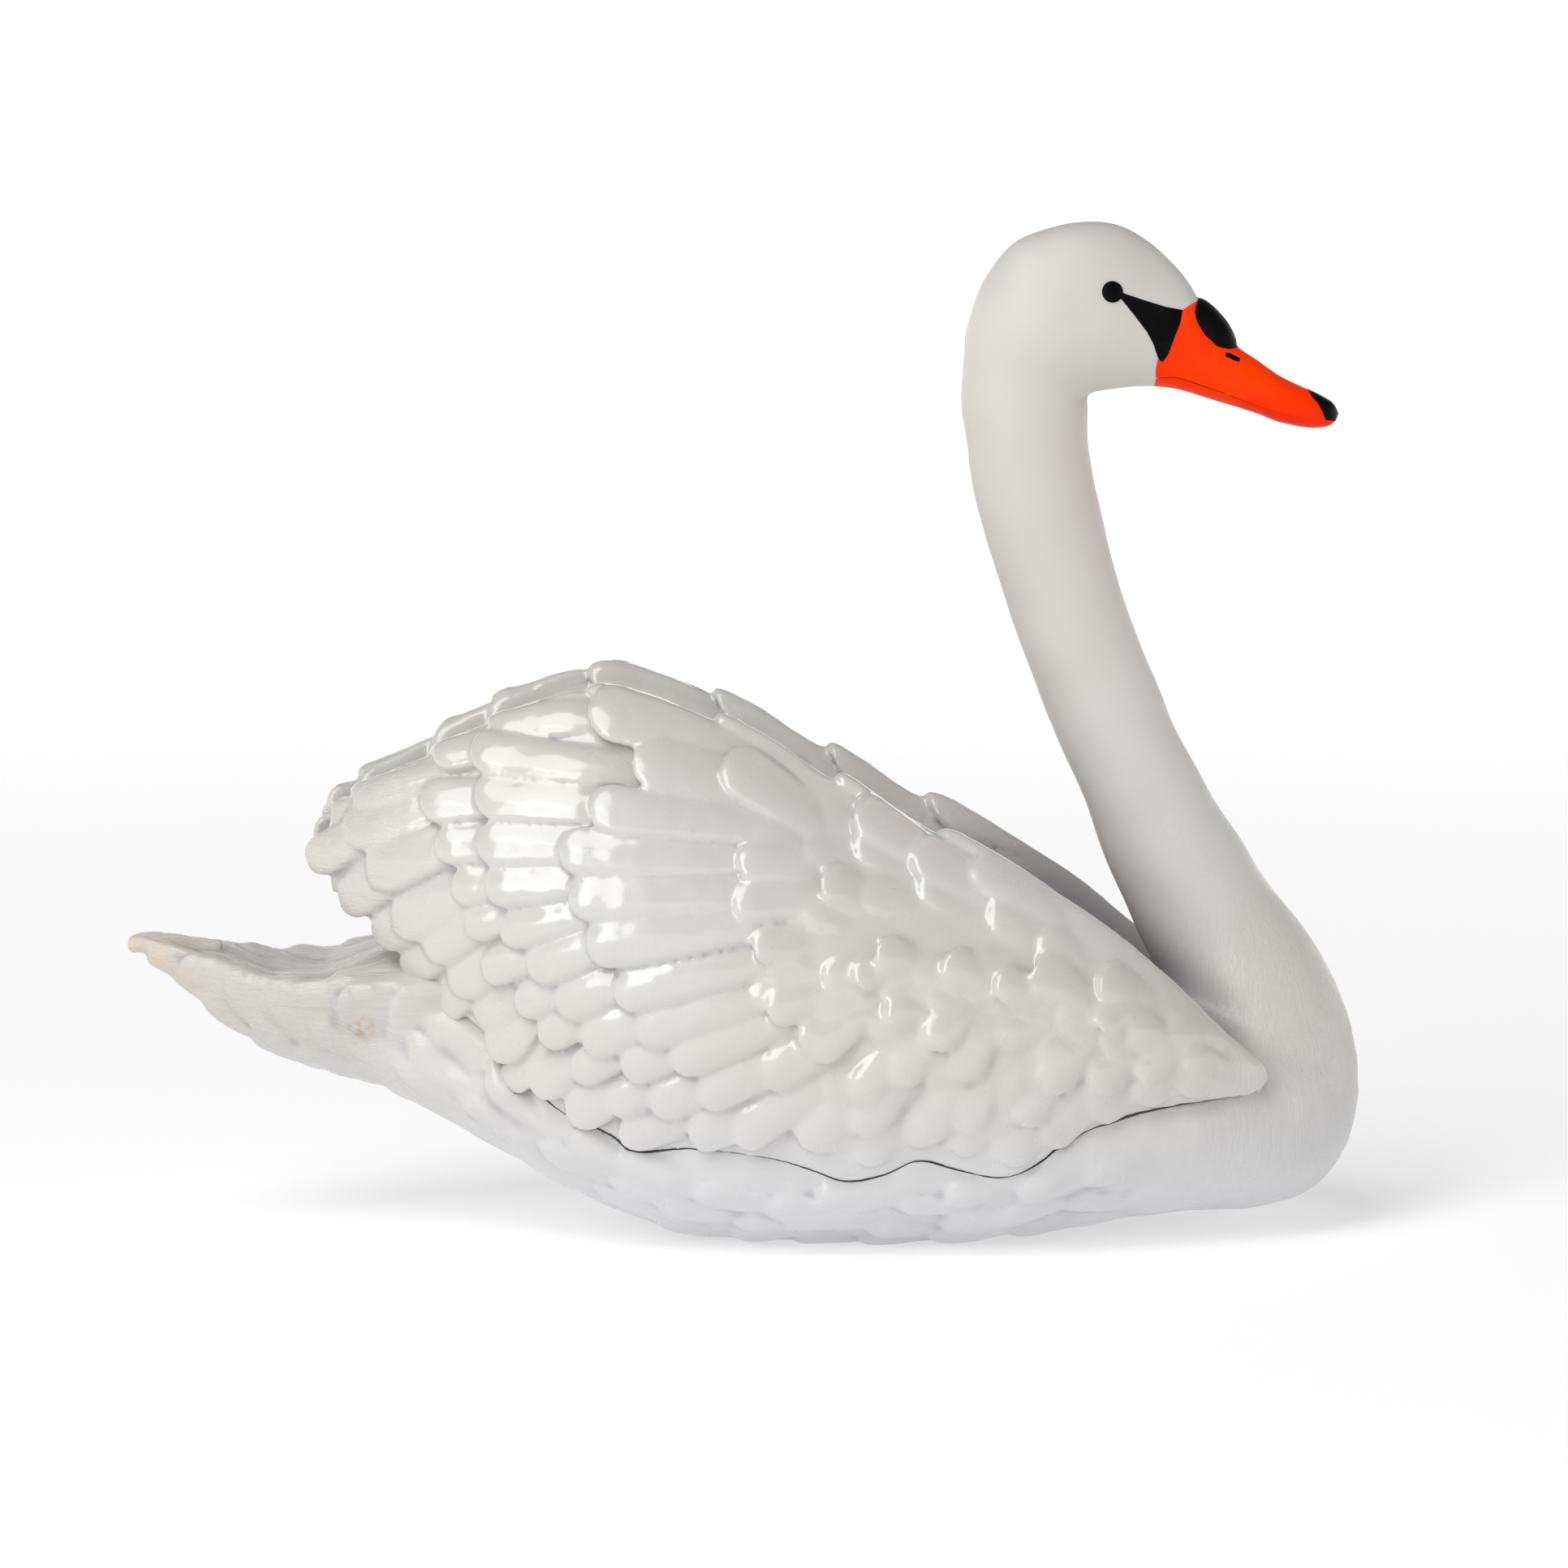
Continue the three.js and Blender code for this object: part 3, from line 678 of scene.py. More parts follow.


# %% [markdown]
# ## Laying the feathers
#
# The feathers are laid one by one: where its tip is in the side view, the way its shaft runs, half its
# width and its length. The rows are laid from the rear forwards, as tiles are, each a little higher.
# Over the shoulder the long feathers give way to small soft pebbles, pressed in without much order.
# Short tongues edge the lower rim, and four rows of long feathers run down the wing's inner face.
# The front half is then melted a little, because the enamel lies thickest there.

# %% Feather rows
FEATHER_ROWS = {
    # row: (lift, thickness, softness of the edges), then x, z, heading, half-width, length of each
    "primaries": ((0.5, 4.6, 0.5), [
        (-206, 157, 62, 14, 60), (-230, 184, 48, 15, 70), (-250, 207, 38, 16, 80), (-274, 230, 36, 16, 90),
        (-296, 256, 36, 15, 70), (-271, 277, 26, 17, 90), (-267, 301, 19, 13, 90), (-211, 331, 12, 13, 100),
        (-174, 355, 6, 15, 100),
    ]),
    "outer coverts": ((2.6, 4.6, 0.5), [
        (-178, 155, 52, 17, 60), (-197, 179, 42, 17, 70), (-214, 202, 40, 17, 75), (-236, 219, 32, 19, 85),
        (-254, 252, 26, 18, 95), (-187, 222, 22, 14, 60), (-196, 247, 14, 14, 70), (-207, 273, 8, 14, 75),
        (-217, 299, 10, 15, 80),
    ]),
    "flank scales": ((3.6, 4.6, 0.5), [
        (-159, 112, 62, 13, 50), (-85, 87, 12, 15, 60), (-92, 108, 20, 14, 50), (-119, 98, 32, 18, 55),
        (-116, 129, 24, 14, 55), (-141, 113, 48, 16, 50), (-168, 135, 55, 17, 50), (-137, 151, 30, 15, 50),
        (-152, 171, 28, 14, 50), (-174, 193, 24, 14, 55),
    ]),
    "middle coverts": ((4.8, 4.6, 0.5), [
        (-40, 89, 14, 16, 90), (-65, 108, 22, 15, 80), (-83, 133, 22, 15, 80), (-109, 150, 24, 17, 80),
        (-125, 173, 26, 15, 80), (-144, 197, 24, 16, 85), (-162, 220, 18, 14, 90), (-172, 250, 8, 16, 100),
        (-178, 276, 3, 16, 110), (-180, 306, -1, 16, 120), (-182, 332, -2, 15, 130),
    ]),
    "long coverts": ((6.0, 4.6, 0.5), [
        (-9, 86, 34, 15, 90), (-33, 116, 22, 15, 90), (-51, 140, 20, 15, 100), (-73, 159, 16, 15, 110),
        (-87, 184, 13, 15, 120), (-105, 216, 9, 19, 140), (-117, 246, 3, 17, 150), (-123, 274, 0, 16, 150),
        (-104, 301, -4, 16, 150),
    ]),
    "lower front": ((4.0, 3.4, 0.8), [
        (33, 84, 40, 17, 80), (9, 127, 30, 15, 80), (69, 92, 48, 15, 80), (70, 113, 52, 13, 70),
        (113, 85, 60, 15, 80), (41, 144, 40, 14, 70), (97, 124, 60, 14, 60), (140, 92, 62, 14, 70),
        (138, 127, 62, 15, 60), (178, 96, 45, 12, 50), (196, 118, 50, 15, 60), (228, 118, 40, 14, 50),
    ]),
    "shoulder": ((3.8, 3.0, 0.9), [
        (-8, 270, 0, 15, 90), (-10, 243, 6, 15, 80), (1, 214, 10, 14, 50), (11, 174, 15, 15, 60),
        (33, 152, 25, 14, 50), (47, 259, -25, 14, 50), (68, 193, 20, 13, 40), (89, 171, 10, 13, 40),
        (82, 213, -20, 14, 50), (129, 207, -35, 14, 60), (119, 149, 50, 14, 60), (163, 193, -30, 14, 60),
        (188, 200, -34, 16, 80), (232, 190, -28, 15, 60), (231, 156, 40, 15, 60), (259, 122, 30, 13, 50),
    ]),
    "scapulars": ((4.0, 4.2, 0.55), [
        (292, 137, -30, 13, 60), (253, 161, -35, 14, 70), (149, 263, -28, 13, 90), (109, 272, -24, 15, 80),
        (70, 300, -30, 15, 90), (-17, 330, -28, 18, 90), (-77, 334, -12, 21, 110), (-105, 364, -12, 20, 120),
    ]),
}

STEP_UP = 0.5  # each feather of a row lies this much higher than the one before
wing_bm = wing_shell()
for name, ((lift, thick, soft), feathers) in FEATHER_ROWS.items():
    for place, (x, z, heading, half, length) in enumerate(feathers):
        low_front = 1 - 0.5 * float(smooth_step(x, 20, 200))
        raised = (lift + STEP_UP * place) * low_front
        feather(wing_bm, on_wing, (x, z), heading, half, length, raised, thick, soft)
    print(name, len(feathers))

# %% Pebbles on the shoulder, and feathers inside the wing
PEBBLE_STEP, RIM_STEP = 38, 31
WING_CUBE = 1.9
for x in np.arange(6, 300, PEBBLE_STEP):
    low, top = at_x(WING_CURVE, x)[:2]
    for z in np.arange(low + 30, top - 22, PEBBLE_STEP):
        tip = (x + hand.uniform(-12, 12), z + hand.uniform(-12, 12))
        level = (tip[1] - low) / (top - low)
        heading = -34 + 90 * (1 - level) ** 1.6 + hand.uniform(-25, 25)
        half, length = hand.uniform(13, 19), hand.uniform(50, 80)
        feather(wing_bm, on_wing, tip, heading, half, length, 1.4, 2.0, 1.1)

for x in np.arange(-50, 320, RIM_STEP):
    tip = (x + hand.uniform(-6, 6), at_x(WING_CURVE, x)[0] + hand.uniform(12, 17))
    heading = 62 - 45 * float(smooth_step(x, 60, 320)) + hand.uniform(-8, 8)
    half, length = hand.uniform(13, 17), hand.uniform(48, 62)
    feather(wing_bm, on_wing, tip, heading, half, length, 1.8, 2.6, 0.8)
INNER_DEPTHS = (10, 34, 60, 86)  # how far over the crest the tips of each inner row lie
INNER_TIPS = [(-290, 32, 8), (-268, 31, 11), (-217, 23, 12), (-178, 15, 13), (-108, -9, 17), (-20, -27, 15),
              (60, -29, 15), (130, -30, 14)]  # x, heading, half-width
for place, (x, heading, half) in enumerate(INNER_TIPS):
    top = at_x(WING_CURVE, x)[1] + CREST_UP
    for row, over in enumerate(INNER_DEPTHS):
        tip = (x + row * 14, top + over)
        feather(wing_bm, on_wing, tip, heading, half, 115, 3.2 + 0.4 * place - 0.5 * row, 3.4, 0.6, -0.1)
wing_right = as_object("wing_right_cast", wing_bm)
cast(wing_right, WING_CUBE, 3)
melt = wing_right.modifiers.new("melt", "SMOOTH")
melt.factor = 0.5
melt.iterations = 14
melt.vertex_group = weigh(wing_right, "melt", smooth_step(points_of(wing_right)[:, 0], -40, 90))
applied(wing_right)
wing_right.vertex_groups.clear()

# %% [markdown]
# ## Fitting the wings
#
# On the real figure each wing sits in a rebate of the body, with a hairline gap round it. The wing
# is hollowed where the core of the body would fill it. Then a copy of it, grown by the width of the
# gap, is cut out of the body, so the gap follows every feather.


# %% Cut one form with another
def combine(piece, tool, operation):
    cut = piece.modifiers.new("cut", "BOOLEAN")
    cut.operation = operation
    cut.solver = "MANIFOLD"
    cut.object = tool
    applied(piece)
    bpy.data.objects.remove(tool)
    return piece


def mirrored(name, piece):
    """The same piece on the swan's left."""
    form = bmesh.new()
    form.from_mesh(piece.data)
    bmesh.ops.scale(form, vec=(1, -1, 1), verts=form.verts)
    bmesh.ops.reverse_faces(form, faces=form.faces)
    return as_object(name, form)


def keep_largest(piece):
    """Drops the crumbs that a cut has left."""
    form = bmesh.new()
    form.from_mesh(piece.data)
    left, islands = set(form.verts), []
    while left:
        island = [left.pop()]
        for vert in island:
            for edge in vert.link_edges:
                other = edge.other_vert(vert)
                if other in left:
                    left.remove(other)
                    island.append(other)
        islands.append(island)
    islands.sort(key=len)
    crumbs = [vert for island in islands[:-1] for vert in island]
    bmesh.ops.delete(form, geom=crumbs, context="VERTS")
    form.to_mesh(piece.data)
    form.free()
    print(piece.name, "lost", len(islands) - 1, "crumbs of", len(crumbs), "points")


HORN_PLACE, HORN_SIZE = (352.6, -115, 96.2), 20


def trim_front_tip(wing):
    """Saws off the thin horn that hangs under the wing's front tip."""
    saw = bmesh.new()
    bmesh.ops.create_cube(saw, size=HORN_SIZE)
    bmesh.ops.translate(saw, vec=HORN_PLACE, verts=saw.verts)
    combine(wing, as_object("saw", saw), "DIFFERENCE")


SEAT_GAP, SEAT_SUNK = 1.3, 3.0  # the gap where the wing is fitted, and how deep its free rear sinks in
SEAT_CUBE = 2.2
CORE_MIDDLE, CORE_SHRINK = Vector((60, 0, 110)), (0.96, 0.88, 0.86)
SEAT_REAR = -165  # behind this the wing is free, and only sinks a little into what it touches
core_form = trunk_form()
bmesh.ops.translate(core_form, vec=-CORE_MIDDLE, verts=core_form.verts)
bmesh.ops.scale(core_form, vec=CORE_SHRINK, verts=core_form.verts)
bmesh.ops.translate(core_form, vec=CORE_MIDDLE, verts=core_form.verts)
combine(wing_right, as_object("core", core_form), "DIFFERENCE")

seat = as_object("seat", bmesh.new())
seat.data = wing_right.data.copy()
points = points_of(seat)
fitted = smooth_step(points[:, 0], SEAT_REAR - 15, SEAT_REAR + 15)[:, None]
move_points(seat, points + normals_of(seat) * (SEAT_GAP * fitted - SEAT_SUNK * (1 - fitted)))
cast(seat, SEAT_CUBE, 2)
combine(body, mirrored("seat_left", seat), "DIFFERENCE")
combine(body, seat, "DIFFERENCE")
trim_front_tip(wing_right)
keep_largest(body)
keep_largest(wing_right)
wing_left = mirrored("wing_left_cast", wing_right)
print("body:", len(body.data.polygons), "faces; wing:", len(wing_right.data.polygons), "faces")

# %% [markdown]
# ## The painted head
#
# The painter followed lines scribed on the head: a black wedge from the eye to the bill, an orange
# bill with a black knob and nail. Each patch of paint is the head form grown by the paint's
# thickness, kept only inside its outline. The outline is pushed through the head like a cookie cutter.

# %% Cutters and patches
def cutter(outline, y_from=-60, y_to=60):
    """A prism through the head with this outline in the side view."""
    form = bmesh.new()
    corners = [form.verts.new((x, y_from, z)) for x, z in outline]
    face = form.faces.new(corners)
    pushed = bmesh.ops.extrude_face_region(form, geom=[face])["geom"]
    moved = [part for part in pushed if isinstance(part, bmesh.types.BMVert)]
    bmesh.ops.translate(form, vec=(0, y_to - y_from, 0), verts=moved)
    bmesh.ops.recalc_face_normals(form, faces=form.faces)
    return as_object("cutter", form)


def patch(name, outline, grow, y_from=-60, y_to=60):
    coat = as_object(name, body_form(HEAD, HEAD_POWER, 120, 190, grow))
    combine(coat, cutter(outline, y_from, y_to), "INTERSECT")
    print(name, len(coat.data.polygons), "faces")
    return coat


BILL_BACK = [(311, 637), (304, 634), (298, 630.5), (296.5, 622), (293, 613.5), (288, 600), (284.5, 595),
             (281, 597), (280, 590), (280.6, 584)]
GAPE = [(294, 584.5), (303, 582), (313, 578.5), (328, 573.5), (340, 568.5), (358, 562), (384, 555),
        (412, 552)]
CREASE = 0.45  # width of the mouth line at its corner; it closes towards the tip
upper_outline = BILL_BACK + GAPE + [(420, 552), (420, 660), (311, 660)]
crease = [(x, z - CREASE * (1 - float(smooth_step(x, 320, 370)))) for x, z in [BILL_BACK[-1]] + GAPE]
lower_outline = crease + [(420, 552), (420, 500), (280, 500)]
LORE = [(251, 645), (258, 641.8), (273, 636.8), (286, 632.8), (298, 630.5), (296.5, 622), (293, 613.5),
        (288, 600), (285, 592.5), (281, 598.3), (277.5, 608), (273, 616), (264, 627.5), (255, 638.5)]
KNOB_PAINT = [(311, 640), (309, 635.5), (305.8, 629), (307.6, 622), (313.4, 613.5), (319.3, 608.5),
              (323, 605), (329.5, 603.8), (340, 603.8), (345, 640)]
NAIL_PAINT = [(384, 582), (387.8, 571.3), (391.8, 566.5), (395.3, 560.2), (397.6, 554.9), (404, 553.8),
              (420, 553.8), (420, 582)]
NOSTRIL = [(328.2, 601.2), (331, 600.9), (338.4, 597.4), (337.6, 594.8), (333, 596.2), (331, 597.6),
           (328, 598.2)]

bill_upper = patch("bill_upper_paint", upper_outline, 0.6)
bill_lower = patch("bill_lower_paint", lower_outline, 0.15)
nail = patch("nail_paint", NAIL_PAINT, 0.95)
lore_right = patch("lore_right", LORE, 0.45, -60, -12)
nostril_right = patch("nostril_right", NOSTRIL, 0.8, -60, -6)
hidden_root = [(x + 1.8, z - 1.0) for x, z in BILL_BACK]  # the white ends a little under the orange
hidden_root += [(282.4, 500), (420, 500), (420, 660), (312.8, 660)]
combine(body, cutter(hidden_root), "DIFFERENCE")

# %% Knob
KNOB_MIDDLE, KNOB_SLOPE = (322.5, 620.8), math.radians(-53.5)
KNOB_CUBE = 0.8
KNOB_HALF, KNOB_DEPTH = 20.8, 12.2  # half its length along the bill, and how far it hangs down the sides
KNOB_RISE, KNOB_SIDE_RISE = 7.4, 2.2
knob = cast(patch("knob_paint", KNOB_PAINT, 0.95), KNOB_CUBE, 2)
points, normals = points_of(knob), normals_of(knob)
x, z = points[:, 0] - KNOB_MIDDLE[0], points[:, 2] - KNOB_MIDDLE[1]
along = (x * math.cos(KNOB_SLOPE) + z * math.sin(KNOB_SLOPE)) / KNOB_HALF
down = (x * math.sin(KNOB_SLOPE) - z * math.cos(KNOB_SLOPE)) / KNOB_DEPTH
swell = np.clip(1 - along**2 - np.maximum(down, 0) ** 2, 0, 1) ** 0.7
outward = np.clip(-normals[:, 0] * math.sin(KNOB_SLOPE) + normals[:, 2] * math.cos(KNOB_SLOPE), 0, 1)
rise = KNOB_SIDE_RISE + (KNOB_RISE - KNOB_SIDE_RISE) * outward**2
move_points(knob, points + normals * (swell * rise)[:, None])
cast(knob, KNOB_CUBE, 6)

# %% Eyes
EYE_PLACE, EYE_RADIUS, EYE_BULGE = (250.5, -45, 644.3), 7.4, 2.6
_, eye_spot, eye_way, _ = head_form.closest_point_on_mesh(Vector(EYE_PLACE))
eye_bm = bmesh.new()
bmesh.ops.create_uvsphere(eye_bm, u_segments=40, v_segments=24, radius=1.0)
bmesh.ops.scale(eye_bm, vec=(EYE_RADIUS, EYE_RADIUS, EYE_BULGE), verts=eye_bm.verts)
bmesh.ops.rotate(
    eye_bm, cent=(0, 0, 0), matrix=eye_way.to_track_quat("Z", "Y").to_matrix(), verts=eye_bm.verts
)
bmesh.ops.translate(eye_bm, vec=eye_spot, verts=eye_bm.verts)
eye_right = as_object("eye_right_ball", eye_bm)
eye_left = mirrored("eye_left_ball", eye_right)
lore_left = mirrored("lore_left", lore_right)
nostril_left = mirrored("nostril_left", nostril_right)
bpy.data.objects.remove(head_form)
print("eye at", tuple(round(v, 1) for v in eye_spot))

# %% [markdown]
# ## Hand work
#
# Nothing on a moulded figure is quite true. Two sizes of soft unevenness go over the body and the
# wings, except where the paint lines are. The underside is ground flat, so that the figure stands.

# %% Unevenness and a flat base
def off_the_face(points):
    return 1 - smooth_step(points[:, 0], 205, 235) * smooth_step(points[:, 2], 540, 570)


def on_belly(points):
    return off_the_face(points) * (1 - smooth_step(points[:, 2], 130, 200))


uneven(body, 42, 1.6, off_the_face, 1)
uneven(body, 16, 0.7, on_belly, 2)
for number, wing in enumerate((wing_right, wing_left)):
    uneven(wing, 34, 1.0, None, 3 + number)
    uneven(wing, 11, 0.3, None, 5 + number)
for piece in (body, wing_right, wing_left):
    points = points_of(piece)
    points[:, 2] = np.maximum(points[:, 2], 0)
    move_points(piece, points)
print("lowest point:", round(float(points_of(body)[:, 2].min()), 2), "mm")


# %% [markdown]
# ## Where shade is painted
#
# The enamel reads two numbers kept at each point: how hollow the skin is there, for painted shade
# in the creases, and how deep it lies between the wings, for darker painted shade by the neck.


# %% Painted shade in the creases and between the wings
def mark_creases(piece, full_depth):
    """Keeps how hollow the skin is at each point, from 0 to 1."""
    points, normals = points_of(piece), normals_of(piece)
    ends = np.empty(len(piece.data.edges) * 2, np.int32)
    piece.data.edges.foreach_get("vertices", ends)
    one, two = ends.reshape(-1, 2).T
    near = np.bincount(np.concatenate([one, two]), minlength=len(points))[:, None]

    def mean_round(values):
        total = np.zeros_like(values)
        np.add.at(total, one, values[two])
        np.add.at(total, two, values[one])
        return total / np.maximum(near, 1)

    around = mean_round(mean_round(points))
    hollow = ((around - points) * normals).sum(axis=1, keepdims=True)
    hollow = mean_round(np.clip(hollow / full_depth, 0, 1))
    crease = piece.data.attributes.new("crease", "FLOAT", "POINT")
    crease.data.foreach_set("value", hollow.astype(np.float32).ravel())


FULL_CREASE = 0.5  # millimetres below its surroundings, where a point counts as wholly hollow
# a number for the painted shade in the creases
for piece in (body, wing_right, wing_left):
    mark_creases(piece, FULL_CREASE)


def painted_valley_shade(points, back, inset):
    """How deep the painted shade between the wings is, from 0 to 1: `back` far from the neck, 1 beside it, and 0
    past the wings' ridges less `inset`.
    """
    x, y, z = points.T
    top, ridge = (at_x(WING_CURVE, x)[column] for column in (1, 5))
    below = smooth_step(z, 95, 125) * (1 - smooth_step(z, top - 40, top + 36))
    inside = 1 - smooth_step(np.abs(y), ridge - inset, ridge - inset + 8)
    along = smooth_step(x, -240, -120) * (1 - smooth_step(x, 326, 352))
    return below * inside * along * (back + (1 - back) * smooth_step(x, 140, 225))


# painted shade between the wings, strongest beside the neck
for piece, back, inset in ((body, 0.3, 10), (wing_right, 0.0, 3), (wing_left, 0.0, 3)):
    shade = piece.data.attributes.new("painted_valley_shade", "FLOAT", "POINT")
    shade.data.foreach_set("value", painted_valley_shade(points_of(piece), back, inset).astype(np.float32))
print("creases and dust marked")


# %% Thin the skins
MOST_TRIANGLES = 192000  # a decimate modifier takes away the faces that matter least


def triangles_of(piece):
    return sum(len(polygon.vertices) - 2 for polygon in piece.data.polygons)


for piece in (body, wing_right, wing_left):
    before = triangles_of(piece)
    fewer = piece.modifiers.new("fewer", "DECIMATE")
    fewer.ratio = min(1.0, MOST_TRIANGLES / before)
    applied(piece)
    print(piece.name, before, "triangles, thinned to", triangles_of(piece))

# %% [markdown]
# ## Enamel and paint
#
# The white is an enamel: faintly creamy in places, with a skin like orange peel, brush marks on the
# breast and fine lines along the tail. The wings have a clear coat over it and shine. The body has
# none, and its neck and head are the dullest. Noise in the piece's own coordinates draws all of
# this. A stain on the tail is laid over it, and painted shade: grey in the creases, near black
# between the wings and the neck, and a bluer tint towards the bottom.


# %% Tools for the materials
class Paint:
    """A material and short ways to wire its nodes."""

    def __init__(self, name, color, roughness, coat=0.0, coat_roughness=0.05):
        self.material = bpy.data.materials.new(name)
        self.material.use_nodes = True
        self.tree = self.material.node_tree
        self.main = self.tree.nodes["Principled BSDF"]
        self.main.inputs["Base Color"].default_value = (*color, 1)
        self.main.inputs["Roughness"].default_value = roughness
        self.main.inputs["Coat Weight"].default_value = coat
        self.main.inputs["Coat Roughness"].default_value = coat_roughness
        self.place = self.tree.nodes.new("ShaderNodeTexCoord").outputs["Object"]

    def noise(self, scale, detail=3.0, stretch=(1, 1, 1), roughness=0.5):
        mapping = self.tree.nodes.new("ShaderNodeMapping")
        mapping.inputs["Scale"].default_value = stretch
        self.tree.links.new(self.place, mapping.inputs["Vector"])
        texture = self.tree.nodes.new("ShaderNodeTexNoise")
        texture.inputs["Scale"].default_value = scale
        texture.inputs["Detail"].default_value = detail
        texture.inputs["Roughness"].default_value = roughness
        self.tree.links.new(mapping.outputs["Vector"], texture.inputs["Vector"])
        return texture.outputs["Fac"]

    def remap(self, value, low, high, to_low=0.0, to_high=1.0):
        node = self.tree.nodes.new("ShaderNodeMapRange")
        node.interpolation_type = "SMOOTHSTEP"
        sockets = {"From Min": low, "From Max": high, "To Min": to_low, "To Max": to_high}
        for socket, number in sockets.items():
            node.inputs[socket].default_value = number
        self.tree.links.new(value, node.inputs["Value"])
        return node.outputs["Result"]

    def axis(self, name, low, high, to_low=0.0, to_high=1.0):
        split = self.tree.nodes.new("ShaderNodeSeparateXYZ")
        self.tree.links.new(self.place, split.inputs["Vector"])
        return self.remap(split.outputs[name], low, high, to_low, to_high)

    def math(self, operation, one, two):
        node = self.tree.nodes.new("ShaderNodeMath")
        node.operation = operation
        for socket, value in zip(node.inputs, (one, two)):
            if isinstance(value, (int, float)):
                socket.default_value = value
            else:
                self.tree.links.new(value, socket)
        return node.outputs["Value"]

    def times(self, one, two):
        return self.math("MULTIPLY", one, two)

    def kept(self, name):
        """A number kept at each point of the skin."""
        node = self.tree.nodes.new("ShaderNodeAttribute")
        node.attribute_name = name
        return node.outputs["Fac"]

    def mix(self, share, one, two):
        node = self.tree.nodes.new("ShaderNodeMix")
        node.data_type = "RGBA"
        self.tree.links.new(share, node.inputs["Factor"])
        for socket, value in zip((node.inputs[6], node.inputs[7]), (one, two)):
            if isinstance(value, tuple):
                socket.default_value = (*value, 1)
            else:
                self.tree.links.new(value, socket)
        return node.outputs[2]

    def bump(self, height, strength, depth, below=None):
        node = self.tree.nodes.new("ShaderNodeBump")
        node.inputs["Strength"].default_value = strength
        node.inputs["Distance"].default_value = depth
        self.tree.links.new(height, node.inputs["Height"])
        if below:
            self.tree.links.new(below, node.inputs["Normal"])
        return node.outputs["Normal"]

    def use(self, **sockets):
        for name, value in sockets.items():
            self.tree.links.new(value, self.main.inputs[name.replace("_", " ")])


# %% White enamel
CREAM, WARM, SHADE_BLUE = (0.57, 0.555, 0.535), (0.56, 0.535, 0.50), (0.595, 0.595, 0.61)
YELLOWED, STAIN = (0.60, 0.53, 0.43), (0.42, 0.33, 0.24)
# The last two colours are painted shade: grey for the creases, near black for the valley between the wings and
# the neck.
CREASE_SHADE, VALLEY_SHADE = (0.40, 0.39, 0.42), (0.15, 0.143, 0.16)


def white_enamel(name, coat, smoothest, roughest):
    paint = Paint(name, (0.8, 0.8, 0.79), 0.3, coat, 0.06)
    cloudy = paint.remap(paint.noise(5, 1), 0.35, 0.65)
    tint = paint.mix(cloudy, CREAM, WARM)
    # painted shade: towards the bottom the white turns bluer and a little lighter, the cast of the shaded
    # underside
    low = paint.axis("Z", 0.16, 0.02)
    tint = paint.mix(low, tint, SHADE_BLUE)
    tip, patchy = paint.axis("X", -0.365, -0.405), paint.remap(paint.noise(60, 3), 0.3, 0.6)
    tint = paint.mix(paint.times(tip, patchy), tint, YELLOWED)
    across = paint.times(paint.axis("X", -0.28, -0.264), paint.axis("X", -0.246, -0.262))
    upward = paint.times(paint.axis("Z", 0.134, 0.146), paint.axis("Z", 0.162, 0.15))
    speckled = paint.times(upward, paint.remap(paint.noise(170, 4), 0.35, 0.7))
    tint = paint.mix(paint.times(across, speckled), tint, STAIN)
    # painted shade: the creases turn grey by how hollow the skin is
    crease_darkening = paint.times(paint.remap(paint.kept("crease"), 0.12, 0.85), 0.8)
    tint = paint.mix(crease_darkening, tint, CREASE_SHADE)
    # painted shade: the valley between the wings and the neck goes near black
    tint = paint.mix(paint.times(paint.kept("painted_valley_shade"), 0.9), tint, VALLEY_SHADE)
    gloss = paint.remap(paint.noise(28, 4), 0.3, 0.7, smoothest, roughest)
    neck = paint.times(paint.axis("Z", 0.26, 0.36), paint.axis("X", 0.12, 0.2))
    paint.use(Base_Color=tint, Roughness=paint.math("ADD", gloss, paint.times(neck, 0.14)))
    peel = paint.bump(paint.noise(420, 2), 0.15, 0.0004)
    breast = paint.times(paint.axis("X", 0.28, 0.34), paint.axis("Z", 0.27, 0.2))
    strokes = paint.times(breast, paint.noise(60, 4, (4, 4, 0.5), 0.65))
    rear = paint.axis("X", -0.19, -0.27)
    lines = paint.times(rear, paint.noise(75, 5, (0.22, 1.3, 2.0), 0.65))
    paint.use(Normal=paint.bump(lines, 0.7, 0.004, paint.bump(strokes, 0.5, 0.002, peel)))
    return paint


gloss_enamel = white_enamel("gloss_enamel", 0.55, 0.16, 0.32)
body_enamel = white_enamel("body_enamel", 0.0, 0.24, 0.4)
print("enamel nodes:", len(body_enamel.tree.nodes))

# %% Orange and black paint
orange = Paint("orange_paint", (0.95, 0.042, 0.0), 0.4)
orange.main.inputs["Specular IOR Level"].default_value = 0.06
orange_tone = orange.remap(orange.noise(45, 4, (0.5, 1, 1)), 0.3, 0.7)
fresh = orange.mix(orange_tone, (0.97, 0.046, 0.0), (0.93, 0.034, 0.0))
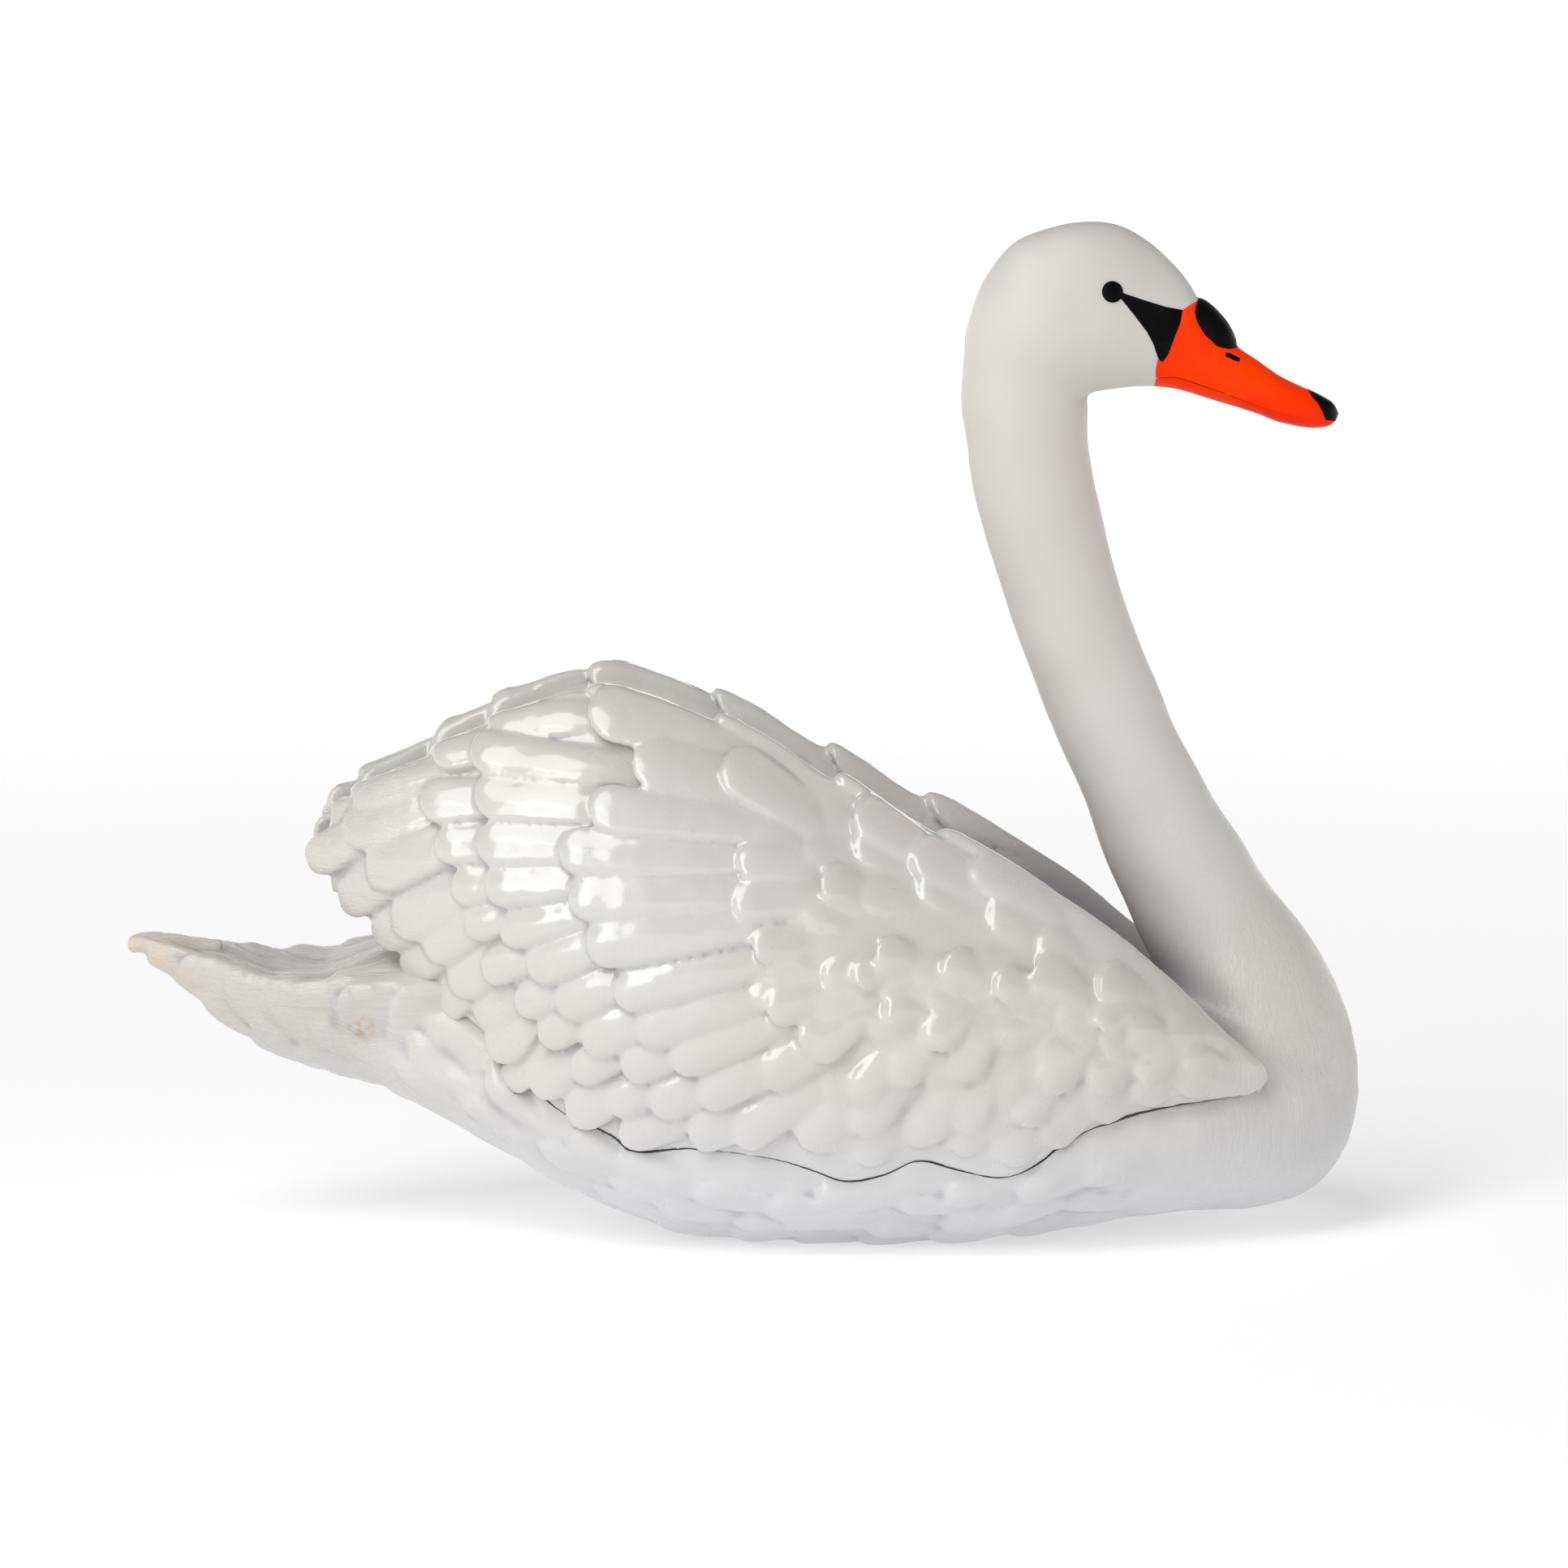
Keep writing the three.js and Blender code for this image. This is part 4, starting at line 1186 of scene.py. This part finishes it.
# painted shade: the bill turns a deeper red towards its underside
deep = orange.axis("Z", 0.575, 0.555)
orange.use(
    Base_Color=orange.mix(orange.times(deep, 0.5), fresh, (0.8, 0.014, 0.0)),
    Roughness=orange.remap(orange.noise(80, 3), 0.3, 0.7, 0.3, 0.48),
    Normal=orange.bump(orange.noise(260, 3, (0.3, 1, 1)), 0.2, 0.0004),
)
black = Paint("black_paint", (0.008, 0.008, 0.008), 0.4)
black.main.inputs["Specular IOR Level"].default_value = 0.05
black_tone = black.remap(black.noise(90, 3), 0.4, 0.7)
black.use(
    Base_Color=black.mix(black_tone, (0.002, 0.002, 0.002), (0.005, 0.004, 0.004)),
    Roughness=black.remap(black.noise(120, 3), 0.3, 0.7, 0.28, 0.5),
    Normal=black.bump(black.noise(240, 3), 0.25, 0.0004),
)
print("paints ready")


# %% Finish the pieces
def finish_piece(piece, paint, slot, *nodes, sharp=38):
    """Metres, paint and smooth shading, broken only at edges over `sharp` degrees."""
    piece.data.transform(Matrix.Scale(MM, 4))
    piece.data.materials.clear()
    piece.data.materials.append(paint.material)
    for polygon in piece.data.polygons:
        polygon.use_smooth = True
    piece.data.set_sharp_from_angle(angle=math.radians(sharp))
    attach(piece, "root")
    if nodes:
        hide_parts(*nodes)


BODY_NODES = ("trunk", "tail", "neck_lower", "neck_upper", "head")
finish_piece(body, body_enamel, "white_gloss", *BODY_NODES, sharp=70)
finish_piece(wing_right, gloss_enamel, "white_gloss", "wing_right", sharp=70)
finish_piece(wing_left, gloss_enamel, "white_gloss", "wing_left", sharp=70)
finish_piece(bill_upper, orange, "orange_paint", "bill_upper")
finish_piece(bill_lower, orange, "orange_paint", "bill_lower")
finish_piece(nail, black, "black_paint", "bill_nail")
finish_piece(knob, black, "black_paint", "bill_knob", sharp=70)
finish_piece(eye_right, black, "black_paint", "eye_right")
finish_piece(eye_left, black, "black_paint", "eye_left")
for detail in (lore_right, lore_left, nostril_right, nostril_left):
    finish_piece(detail, black, "black_paint")

# %% [markdown]
# ## A round cove and soft light
#
# A studio sweeps its floor up into the wall, so that no horizon shows. Here the cove goes all the
# way round, because the swan is looked at from every side: a profile is spun about the Z axis.

# %% Cove, world and lights
FLOOR_RADIUS, SWEEP, WALL_TOP = 6.5, 1.5, 3.2
cove_bm = bmesh.new()
profile = [(0.0, 0.0), (FLOOR_RADIUS, 0.0)]
profile += [
    (FLOOR_RADIUS + SWEEP * math.sin(a), SWEEP - SWEEP * math.cos(a)) for a in np.radians(range(15, 91, 15))
]
profile += [(FLOOR_RADIUS + SWEEP, WALL_TOP)]
path = [cove_bm.verts.new((x, 0, z)) for x, z in profile]
edges = [cove_bm.edges.new(pair) for pair in zip(path, path[1:])]
bmesh.ops.spin(
    cove_bm, geom=path + edges, axis=(0, 0, 1), cent=(0, 0, 0), angle=2 * math.pi, steps=96, use_merge=True
)
bmesh.ops.remove_doubles(cove_bm, verts=cove_bm.verts, dist=1e-4)
bmesh.ops.recalc_face_normals(cove_bm, faces=cove_bm.faces)
cove = as_object("cove", cove_bm)
for polygon in cove.data.polygons:
    polygon.use_smooth = True
cove_paint = Paint("cove_paint", (0.7, 0.7, 0.7), 0.9)
cove_tone = cove_paint.mix(cove_paint.noise(1.5, 2), (0.7, 0.7, 0.7), (0.71, 0.71, 0.71))
from_middle = cove_paint.tree.nodes.new("ShaderNodeVectorMath")
from_middle.operation = "LENGTH"
cove_paint.tree.links.new(cove_paint.place, from_middle.inputs[0])
cove_glow = cove_paint.remap(from_middle.outputs["Value"], 1.0, FLOOR_RADIUS, 0.4, 0.6)
cove_paint.use(Base_Color=cove_tone, Emission_Strength=cove_glow)
cove_paint.main.inputs["Emission Color"].default_value = (1, 1, 1, 1)
cove.data.materials.append(cove_paint.material)

world = bpy.data.worlds.new("studio")
world.use_nodes = True
world.node_tree.nodes["Background"].inputs["Color"].default_value = (1, 1, 1, 1)
world.node_tree.nodes["Background"].inputs["Strength"].default_value = 0.2
bpy.context.scene.world = world
bpy.context.scene.view_settings.view_transform = "Standard"


def lamp(name, kind, place, power, **sizes):
    data = bpy.data.lights.new(name, kind)
    data.energy = power
    for key, value in sizes.items():
        setattr(data, key, value)
    light = bpy.data.objects.new(name, data)
    light.location = place
    light.rotation_euler = (AIM - Vector(place)).to_track_quat("-Z", "Y").to_euler()
    bpy.context.scene.collection.objects.link(light)


lamp("ceiling", "SUN", (-2.0, -2.0, 5.0), 1.2, angle=math.radians(35))
lamp("window", "AREA", (-1.5, -2.5, 1.8), 38, shape="RECTANGLE", size=1.2, size_y=2.0)
